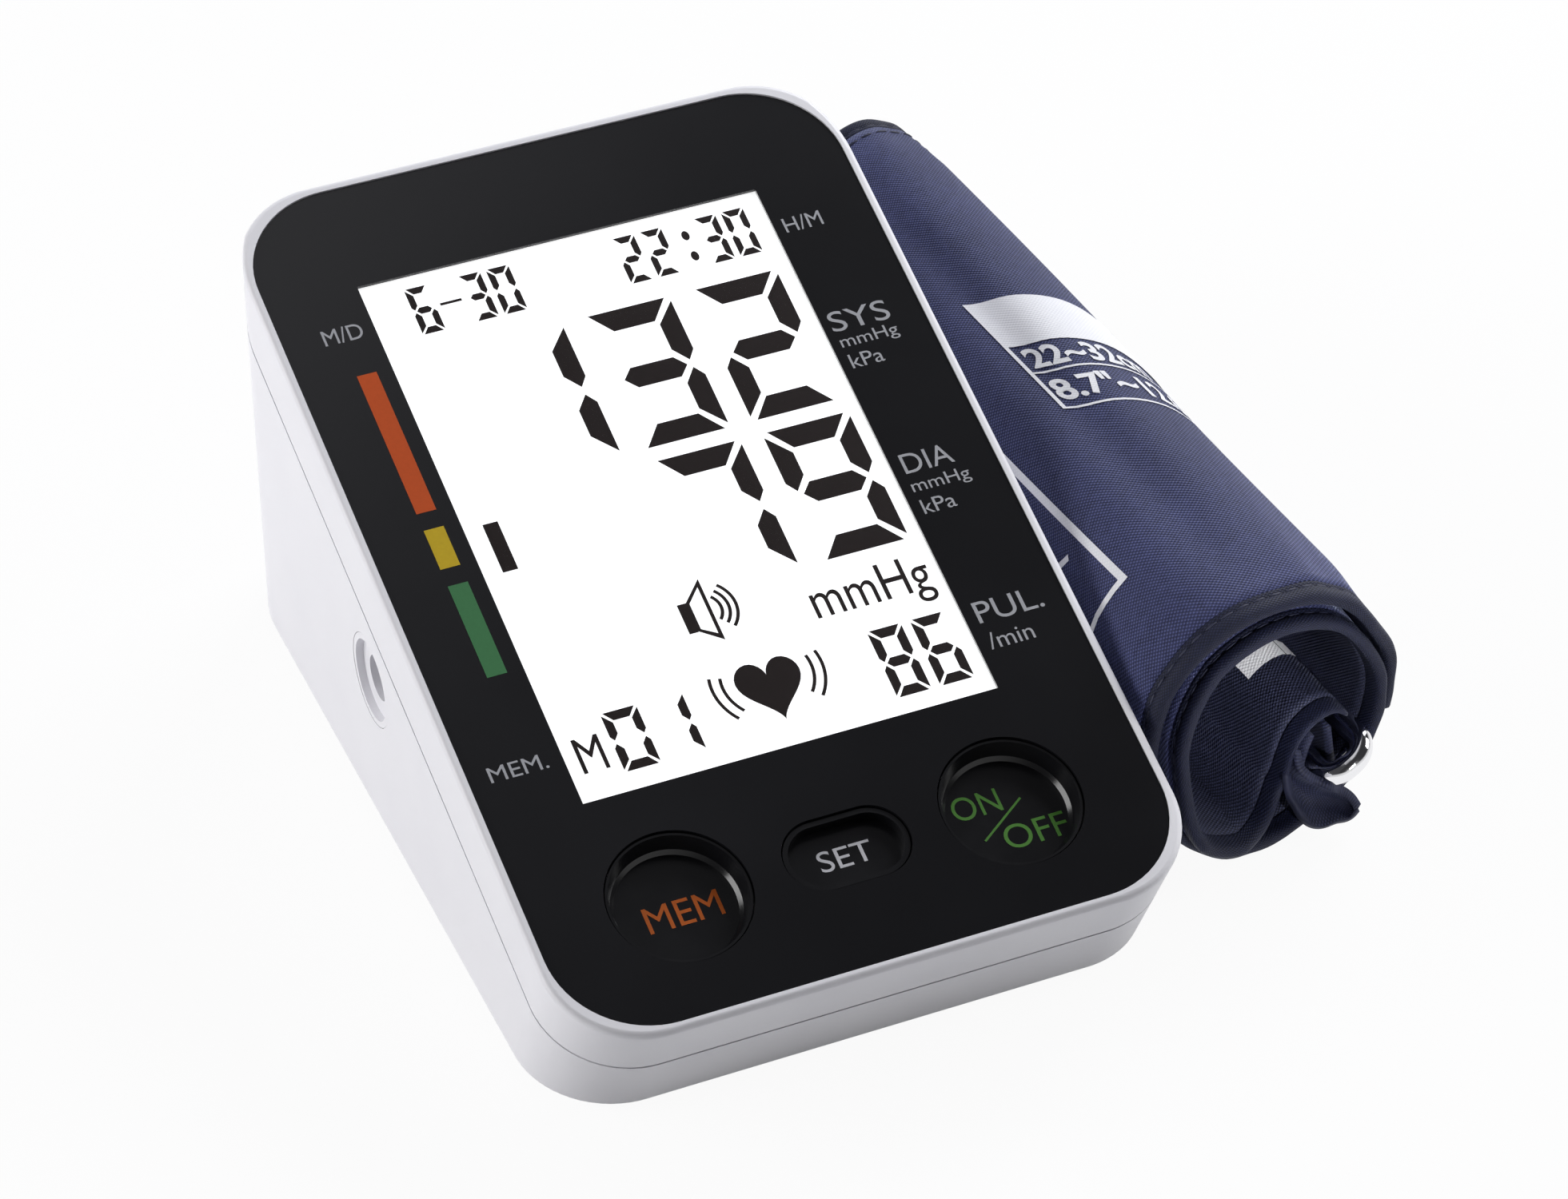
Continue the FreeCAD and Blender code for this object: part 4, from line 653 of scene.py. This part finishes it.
def flat_map(along, across):
    """Map of a flat cut, in metres, from millimetres along it and across it."""
    return np.stack(np.broadcast_arrays(along, across), -1) * 0.001


def closed_sheet(name, outside, inside, flat, material):
    """A thick sheet from the places of its two faces, and its flat cut as a map in metres."""
    rows, columns = outside.shape[:2]
    count = rows * columns
    faces = []
    for i in range(rows - 1):
        for j in range(columns - 1):
            a = i * columns + j
            faces.append((a, a + 1, a + columns + 1, a + columns))
            faces.append((count + a, count + a + columns, count + a + columns + 1, count + a + 1))
    border = ([(0, j) for j in range(columns)] + [(i, columns - 1) for i in range(1, rows)]
              + [(rows - 1, j) for j in range(columns - 2, -1, -1)]
              + [(i, 0) for i in range(rows - 2, 0, -1)])
    for (i, j), (k, m) in zip(border, border[1:] + border[:1]):
        a, b = i * columns + j, k * columns + m
        faces.append((b, a, count + a, count + b))
    places = np.vstack([outside.reshape(-1, 3), inside.reshape(-1, 3)])
    piece = add_piece(name, places.tolist(), faces, material, True)
    lay_flat(piece, np.vstack([flat.reshape(-1, 2)] * 2))
    orient(piece)
    return piece


def cloth_layer(name, first, last, near, far, low, high, material, swelling=None,
                pitch=(1.2, 1.8)):
    """A thick layer of the roll between two stations: outer face, inner face and edges."""
    at = np.linspace(first, last, int((last - first) / pitch[0]) + 1)[:, None]
    behind = np.linspace(near, far, int((far - near) / pitch[1]) + 1)[None, :]
    rise = swelling(at, behind) if swelling else 0.0
    return closed_sheet(name, on_roll(at, behind, high + rise),
                        on_roll(at, behind, low + rise * 0.4), flat_map(at, behind), material)


def lay_flat(piece, flat):
    """Gives a piece the map of its flat cut, in metres."""
    cut = piece.data.uv_layers.new(name="cut")
    corner = np.zeros(len(piece.data.loops), np.int32)
    piece.data.loops.foreach_get("vertex_index", corner)
    cut.data.foreach_set("uv", flat[corner].astype(np.float32).ravel())


def orient(piece):
    """Turns all faces of a closed piece outwards."""
    shape = bmesh.new()
    shape.from_mesh(piece.data)
    bmesh.ops.recalc_face_normals(shape, faces=shape.faces)
    shape.to_mesh(piece.data)
    shape.free()


def woven(name, colour, shade, thread=0.00068, depth=0.00016, sheen=0.4, crease=0.00035):
    """Plain-woven nylon: yarns over and under each other on the map of the flat cut."""
    material, shader, spot = finish(name, colour, 0.62)
    cut = spot.node("UVMap", {"uv_map": "cut"})
    along, across = (cut.node("SeparateXYZ", inputs={0: cut}, output=way) for way in (0, 1))
    warp, weft = (way.math("SINE", way * (2 * math.pi / thread)) for way in (along, across))
    knot = warp * weft
    slub = spot.noise(700.0, 2.0)
    worn = spot.noise(45.0, 3.0)
    crumple = spot.noise(38.0, 2.5, 0.45)
    # Painted highlight and painted shade: the yarn crowns take the lighter colour and the gaps
    # between the yarns the darker one, mixed with the slub's random tone.
    crown_highlight_mask = (knot * 0.5 + 0.5) ** 3.0
    crown_highlight_and_slub = crown_highlight_mask * 0.75 + slub * 0.25
    feed(shader.inputs["Base Color"],
         blend(spot, crown_highlight_and_slub * (0.7 + worn * 0.6), shade, colour))
    feed(shader.inputs["Roughness"], 0.66 - crown_highlight_mask * 0.2)
    relief = knot * 0.5 + slub * 0.3
    feed(shader.inputs["Normal"], relief.bump(0.8, depth, Normal=crumple.bump(0.5, crease)))
    feed(shader.inputs["Specular IOR Level"], 0.25)
    feed(shader.inputs["Sheen Weight"], sheen)
    feed(shader.inputs["Sheen Roughness"], 0.35)
    feed(shader.inputs["Sheen Tint"], (0.55, 0.6, 0.85, 1))
    return material


# Each nylon's first colour is the painted highlight on its yarn crowns, the second the painted
# shade between its yarns.
navy_nylon = woven("navy_nylon", paint(98, 105, 162), paint(15, 18, 42))
lining_nylon = woven("lining_nylon", paint(74, 79, 112), paint(12, 13, 24), sheen=0.06)
body_near, body_far = hem_wide + 0.1, band_wide - hem_wide - 0.1
last_station = station[-1]
outer_cloth = cloth_layer("cuff_outer_nylon", 0, last_station, body_near, body_far,
                          half_stack - cloth_thick, half_stack, navy_nylon, swell)
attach(outer_cloth, "cuff")
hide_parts("cuff_outer_cloth")
lining = cloth_layer("cuff_lining_nylon", station[7], last_station, body_near, body_far,
                     -half_stack, cloth_thick - half_stack, lining_nylon)
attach(lining, "cuff")
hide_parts("cuff_lining")

# ---------------------------------------------------------------- cuff bladder and hooks
# The air bladder is a flat bag of welded film between the cloths. The flap's hook tape
# holds on the cloth when the cuff is worn.
film = moulded("bladder_film", paint(70, 72, 84), paint(60, 62, 74), 0.35)[0]
bladder_in, half_bag = 11.6, 0.4
bladder = cloth_layer("air_bladder", station[7], station[28], bladder_in,
                      band_wide - bladder_in, -half_bag, half_bag, film, None, (2.5, 4.0))
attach(bladder, "cuff")
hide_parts("cuff_bladder")
hook_tape, hook_shader, spot = finish("hook_tape", paint(26, 28, 44), 0.6)
hooks = spot.node("TexVoronoi", inputs={"Vector": spot, "Scale": 900.0})
feed(hook_shader.inputs["Normal"], (1.0 - hooks).bump(0.8, 0.0003))
# The hook tips are painted lighter and the hollows between them darker: painted highlight and
# painted shade.
feed(hook_shader.inputs["Base Color"], blend(spot, hooks, paint(34, 36, 56), paint(16, 17, 28)))
hook_field = cloth_layer("hook_field", 0, station[6], body_near, body_far,
                         -half_stack, cloth_thick - half_stack, hook_tape)
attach(hook_field, "cuff")
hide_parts("hook_patch")

# ---------------------------------------------------------------- cuff hems
# Both long edges are bound with a folded nylon tape. A row of dark lock stitches, two rows
# at the back, goes right through and pulls a groove into the tape.
# Section of the tape: behind the edge, and out from the cloth's middle.
hem_profile = ((3.58, 1.5), (3.3, 1.8), (2.9, 1.66), (2.6, 1.1), (2.3, 1.66), (1.75, 1.9),
               (0.95, 1.8), (0.3, 1.35), (0.0, 0.55), (0.0, -0.55), (0.3, -1.35), (0.95, -1.72),
               (1.75, -1.76), (2.6, -1.66), (3.2, -1.7), (3.58, -1.58))
# Its two colours are the painted highlight on the yarn crowns and the painted shade between them.
hem_nylon = woven("hem_nylon", paint(40, 46, 80), paint(7, 8, 20), 0.0006, 0.0001, 0.06)
stitch_thread = moulded("stitch_thread", paint(26, 28, 48), paint(38, 42, 68), 0.6, 3000.0,
                        0.00004)[0]


def edge_hem(name, at_back):
    """The folded tape round one long edge of the cuff."""
    rows = int(last_station) + 1
    at = np.linspace(0, last_station, rows)[:, None]
    profile = np.array(hem_profile)
    behind = profile[None, :, 0] + 0 * at
    if at_back:
        behind = band_wide - behind
    out = profile[None, :, 1] + swell(at, behind) * (profile[None, :, 1] > 0) * 0.8
    places = on_roll(at + 0 * behind, behind, out)
    size = len(profile)
    faces = [(i * size + j, i * size + (j + 1) % size,
              (i + 1) * size + (j + 1) % size, (i + 1) * size + j)
             for i in range(rows - 1) for j in range(size)]
    faces += [tuple(range(size)), tuple(range((rows - 1) * size, rows * size))[::-1]]
    piece = add_piece(name, places.reshape(-1, 3).tolist(), faces, hem_nylon, True)
    lay_flat(piece, flat_map(at, run_of(profile)[None, :]).reshape(-1, 2))
    orient(piece)
    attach(piece, "cuff")
    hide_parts("edge_binding_back" if at_back else "edge_binding_front")
    return piece


front_hem = edge_hem("front_hem", False)
back_hem = edge_hem("back_hem", True)

stitch_row = bpy.data.node_groups.new("stitch_row", "GeometryNodeTree")
stitch_inputs = {}
for label, kind in (("Seam", "Geometry"), ("Pitch", "Float"), ("Length", "Float"),
                    ("Thickness", "Float"), ("Thread", "Material")):
    stitch_inputs[label] = stitch_row.interface.new_socket(
        label, in_out="INPUT", socket_type="NodeSocket" + kind).identifier
stitch_row.interface.new_socket("Stitches", in_out="OUTPUT", socket_type="NodeSocketGeometry")
given = stitch_row.nodes.new("NodeGroupInput")
seam_curve = stitch_row.nodes.new("GeometryNodeMeshToCurve")
even_points = stitch_row.nodes.new("GeometryNodeResampleCurve")
even_points.mode = "LENGTH"
seam_heading = stitch_row.nodes.new("GeometryNodeInputTangent")
thread_turn = stitch_row.nodes.new("FunctionNodeAlignRotationToVector")
thread_turn.axis = "X"
thread_ball = stitch_row.nodes.new("GeometryNodeMeshUVSphere")
feed(thread_ball.inputs["Segments"], 8)
feed(thread_ball.inputs["Rings"], 6)
thread_size = stitch_row.nodes.new("ShaderNodeCombineXYZ")
laid_threads = stitch_row.nodes.new("GeometryNodeInstanceOnPoints")
real_threads = stitch_row.nodes.new("GeometryNodeRealizeInstances")
smooth_threads = stitch_row.nodes.new("GeometryNodeSetShadeSmooth")
dyed_threads = stitch_row.nodes.new("GeometryNodeSetMaterial")
sewn = stitch_row.nodes.new("NodeGroupOutput")
for start, end in ((given.outputs["Seam"], seam_curve.inputs["Mesh"]),
                   (seam_curve.outputs["Curve"], even_points.inputs["Curve"]),
                   (given.outputs["Pitch"], even_points.inputs["Length"]),
                   (seam_heading.outputs["Tangent"], thread_turn.inputs["Vector"]),
                   (given.outputs["Length"], thread_size.inputs["X"]),
                   (given.outputs["Thickness"], thread_size.inputs["Y"]),
                   (given.outputs["Thickness"], thread_size.inputs["Z"]),
                   (even_points.outputs["Curve"], laid_threads.inputs["Points"]),
                   (thread_ball.outputs["Mesh"], laid_threads.inputs["Instance"]),
                   (thread_turn.outputs["Rotation"], laid_threads.inputs["Rotation"]),
                   (thread_size.outputs["Vector"], laid_threads.inputs["Scale"]),
                   (laid_threads.outputs["Instances"], real_threads.inputs["Geometry"]),
                   (real_threads.outputs["Geometry"], smooth_threads.inputs["Geometry"]),
                   (smooth_threads.outputs["Geometry"], dyed_threads.inputs["Geometry"]),
                   (given.outputs["Thread"], dyed_threads.inputs["Material"]),
                   (dyed_threads.outputs["Geometry"], sewn.inputs["Stitches"])):
    stitch_row.links.new(start, end)


def sew(name, behind, out):
    """A row of stitches along the roll, this far behind its front edge."""
    at = np.arange(1.0, last_station - 0.5, 0.8)
    seam = on_roll(at, behind, out + swell(at, behind) * 0.8)
    mesh = bpy.data.meshes.new(name)
    mesh.from_pydata(seam.tolist(), [(i, i + 1) for i in range(len(at) - 1)], [])
    row = bpy.data.objects.new(name, mesh)
    bpy.context.scene.collection.objects.link(row)
    laying = row.modifiers.new("stitches", "NODES")
    laying.node_group = stitch_row
    for label, value in (("Pitch", 0.0029), ("Length", 0.00115), ("Thickness", 0.00026),
                         ("Thread", stitch_thread)):
        laying[stitch_inputs[label]] = value
    bpy.context.view_layer.update()
    row.data = bpy.data.meshes.new_from_object(
        row.evaluated_get(bpy.context.evaluated_depsgraph_get()))
    row.modifiers.clear()
    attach(row, "cuff")
    return row


seam_in, seam_out = 2.6, 1.32
front_seam = sew("front_seam", seam_in, seam_out)
back_seam = sew("back_seam", band_wide - seam_in, seam_out)
second_back_seam = sew("second_back_seam", band_wide - 5.4, 1.66)

# ---------------------------------------------------------------- prints on the cuff
# Screen-printed in white on the nylon: the label with the arm sizes it fits, the outline of
# an arm, and a bar on the inside. The name field in the label is left plain.
# The white ink follows the weave: its two colours are the painted highlight on the yarn crowns and
# the painted shade between them.
cloth_ink = woven("cloth_ink", paint(250, 250, 252), paint(232, 232, 238), 0.00068, 0.00006,
                  0.0, 0.0006)
print_level = half_stack + 0.14
bold = 0.028


def field(left, right, low, high, step=1.2):
    """A filled rectangle in small faces, so that it follows the cloth."""
    columns = max(int((right - left) / step), 1) + 1
    rows = max(int((high - low) / step), 1) + 1
    points = [(left + (right - left) * i / (columns - 1), low + (high - low) * j / (rows - 1))
              for i in range(columns) for j in range(rows)]
    faces = [(i * rows + j, (i + 1) * rows + j, (i + 1) * rows + j + 1, i * rows + j + 1)
             for i in range(columns - 1) for j in range(rows - 1)]
    return points, faces


def stroke(wide, *corners):
    """A line of one width through some corners, mitred, in small faces."""
    corners = np.array(corners, float)
    path, normals = [], []
    headings = np.diff(corners, axis=0)
    headings /= np.linalg.norm(headings, axis=1, keepdims=True)
    for i, corner in enumerate(corners):
        before, after = headings[max(i - 1, 0)], headings[min(i, len(headings) - 1)]
        middle = (before + after) / np.linalg.norm(before + after)
        normals.append(np.array((-middle[1], middle[0])) / (middle @ after))
    for start, end, first, last in zip(corners, corners[1:], normals, normals[1:]):
        parts = max(int(np.linalg.norm(end - start) / 1.5), 1)
        square = np.array((-(end - start)[1], (end - start)[0])) / np.linalg.norm(end - start)
        for k in range(parts + 1):
            aside = first if k == 0 else last if k == parts else square
            path.append((start + (end - start) * k / parts, aside))
    points = [tuple(p + n * side * wide / 2) for p, n in path for side in (-1, 1)]
    faces = [(2 * i, 2 * i + 2, 2 * i + 3, 2 * i + 1) for i in range(len(path) - 1)]
    return points, faces


def askew(shapes, edge=46.4, lean=0.047, foot=58, drop=9, soon=12):
    """Turns the places of the label, printed a little askew, into places on the roll."""
    return [([(edge + lean * (up - foot) - across, up - drop * (1 - math.exp(-across / soon)))
              for across, up in points], rings) for points, rings in shapes]


def cloth_print(name, shapes, out):
    """White ink on the cloth, this far off the roll's middle. Points are station and behind."""
    points, rings = joined(shapes)
    at, behind = np.array(points).T
    rise = swell(at, behind) if out > 0 else 0.0
    places = on_roll(at, behind, out + rise)
    outward = places - on_roll(at, behind, 0.0)
    faces = []
    for ring in rings:
        corners = places[list(ring)]
        facing = np.cross(corners, np.roll(corners, -1, 0)).sum(0)
        faces.append(ring if facing @ outward[ring[0]] > 0 else ring[::-1])
    inked = add_piece(name, places.tolist(), faces, cloth_ink, True)
    lay_flat(inked, flat_map(at, behind))
    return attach(inked, "cuff")


size_label = cloth_print("size_label", askew([
    field(0, 37, 76.3, 89.8), stroke(0.55, (0.25, 76.7), (0.25, 57.9), (36.7, 57.9), (36.7, 76.7)),
    stroke(0.5, (0.2, 68.3), (37, 68.3)), lettering("22~32cm", 1.3, 19.5, 69.5, 75.2, bold),
    lettering('8.7"~12.6"', 0.9, 22.5, 60.0, 66.2, bold)]), print_level)
arm_outline = cloth_print("arm_outline", [
    stroke(1.1, (59.2, 100), (57.3, 61.5), (54.5, 20.9), (56.3, 21.0), (58.3, 21.1),
           (60.4, 21.2), (62.8, 21.4), (66.5, 21.8)), stroke(1.0, (58.5, 33.4), (62.0, 35.2))],
    print_level)
inner_bar = cloth_print("inner_bar", [field(218.8, 227.0, 15, 19)], -print_level)

# ---------------------------------------------------------------- sleeve and tail
# The cuff's end is sewn into a sleeve of single nylon that holds the ring. The sleeve's own
# end sticks out at the front as a rolled-up tail, open upwards.
# Its two colours are the painted highlight on the yarn crowns and the painted shade between them.
sleeve_nylon = woven("sleeve_nylon", paint(62, 67, 102), paint(11, 12, 24), 0.0007, 0.0001, 0.06)
held_wire = (20.8, 10.6)
round_wire = [(held_wire[0] + 2.9 * math.cos(math.radians(turn)),
               held_wire[1] + 2.9 * math.sin(math.radians(turn)))
              for turn in range(170, 380, 15)]
sleeve_line = np.array([(19.3, 18.0), (18.4, 15.5), (17.8, 12.9)] + round_wire
                       + [(23.3, 13.1), (22.9, 15.3), (22.4, 18.4)])
sleeve_run = run_of(sleeve_line)
sleeve_long = 117.7
sleeve_thick = 0.0008


def solid_from(middle, thick):
    """The two faces of a sheet, half a thickness each side of its middle."""
    down = np.gradient(middle, axis=0)
    along = np.gradient(middle, axis=1)
    square = np.cross(down, along)
    square /= np.maximum(np.linalg.norm(square, axis=-1, keepdims=True), 1e-12)
    return middle + square * thick / 2, middle - square * thick / 2


slope_round = np.linspace(0, sleeve_run[-1], 60)[:, None]
sleeve_behind = np.linspace(0.3, sleeve_long + 0.3, 70)[None, :]
sleeve_across, sleeve_rise = (np.interp(slope_round, sleeve_run, way) + 0 * sleeve_behind
                              for way in sleeve_line.T)
sleeve_faces = solid_from(in_cuff(sleeve_across, sleeve_behind + 0 * slope_round, sleeve_rise),
                          sleeve_thick)
sleeve = closed_sheet("ring_sleeve", *sleeve_faces, flat_map(slope_round, sleeve_behind),
                      sleeve_nylon)
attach(sleeve, "cuff")
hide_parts("ring_tab")

# The tail's two long edges: across, up and behind the roll's front end, in millimetres.
tail_back = np.array(((14.7, 12.0, 0), (14.8, 9.8, -0.5), (15.3, 7.5, -1), (15.7, 6.2, -1.8),
                      (16.2, 4.7, -2.8), (17.1, 3.4, -3.8), (19.3, 2.6, -4.6), (22.1, 2.7, -4.8),
                      (23.95, 2.55, -5), (25.5, 4.15, -5)))
tail_lip = np.array(((16.9, 16.0, 0.6), (16.2, 14.0, -1.8), (17.2, 12.7, -2.8),
                     (18.8, 11.4, -3.3), (19.9, 10.9, -4.3), (22.3, 8.8, -3.9),
                     (24.4, 6.55, -4.4), (25.5, 4.15, -5)))


def even_run(line, count):
    """A smooth line through some points, in even steps."""
    run = run_of(line)
    return along_line(line, bends_of(run, line), run, np.linspace(0, run[-1], count))[0]


back_edge, lip_edge = even_run(tail_back, 50)[:, None], even_run(tail_lip, 50)[:, None]
over = np.linspace(0, 1, 26)[None, :, None]
narrowing = np.linspace(0, 1, 50)[:, None, None]
tail_middle = back_edge * (1 - over) + lip_edge * over
tail_middle[..., 2:] += 3.4 * np.sin(math.pi * over) * (1 - narrowing ** 4) ** 0.5
tail_thick = sleeve_thick + 0.0007 * (np.exp(-over * 14) + np.exp(-(1 - over) * 14))
tail_places = in_cuff(tail_middle[..., 0], tail_middle[..., 2], tail_middle[..., 1])
tail = closed_sheet("sleeve_tail", *solid_from(tail_places, tail_thick),
                    flat_map(narrowing[..., 0] * 24, over[..., 0] * 8), sleeve_nylon)
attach(tail, "cuff")
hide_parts("ring_tab")

# ---------------------------------------------------------------- ring
# The flat loop is bent from steel wire and chrome-plated, and swings in the sleeve. The
# cuff's free end is pulled through it and folded back when the cuff is worn.
chrome, chrome_shader, spot = finish("chrome", (0.86, 0.86, 0.88, 1), 0.08)
feed(chrome_shader.inputs["Metallic"], 1.0)
hairlines = spot.noise(300.0, 3.0)
feed(chrome_shader.inputs["Roughness"], hairlines * 0.1 + 0.03)
dress(chrome, "cuff_ring")

# ---------------------------------------------------------------- hose port
# A stub moulded in black rubber stands out of the roll's back edge. The air hose is pushed
# into it.
port_rubber = moulded("port_rubber", paint(40, 41, 48), paint(32, 33, 40), 0.55)[0]
dress(port_rubber, "hose_port")
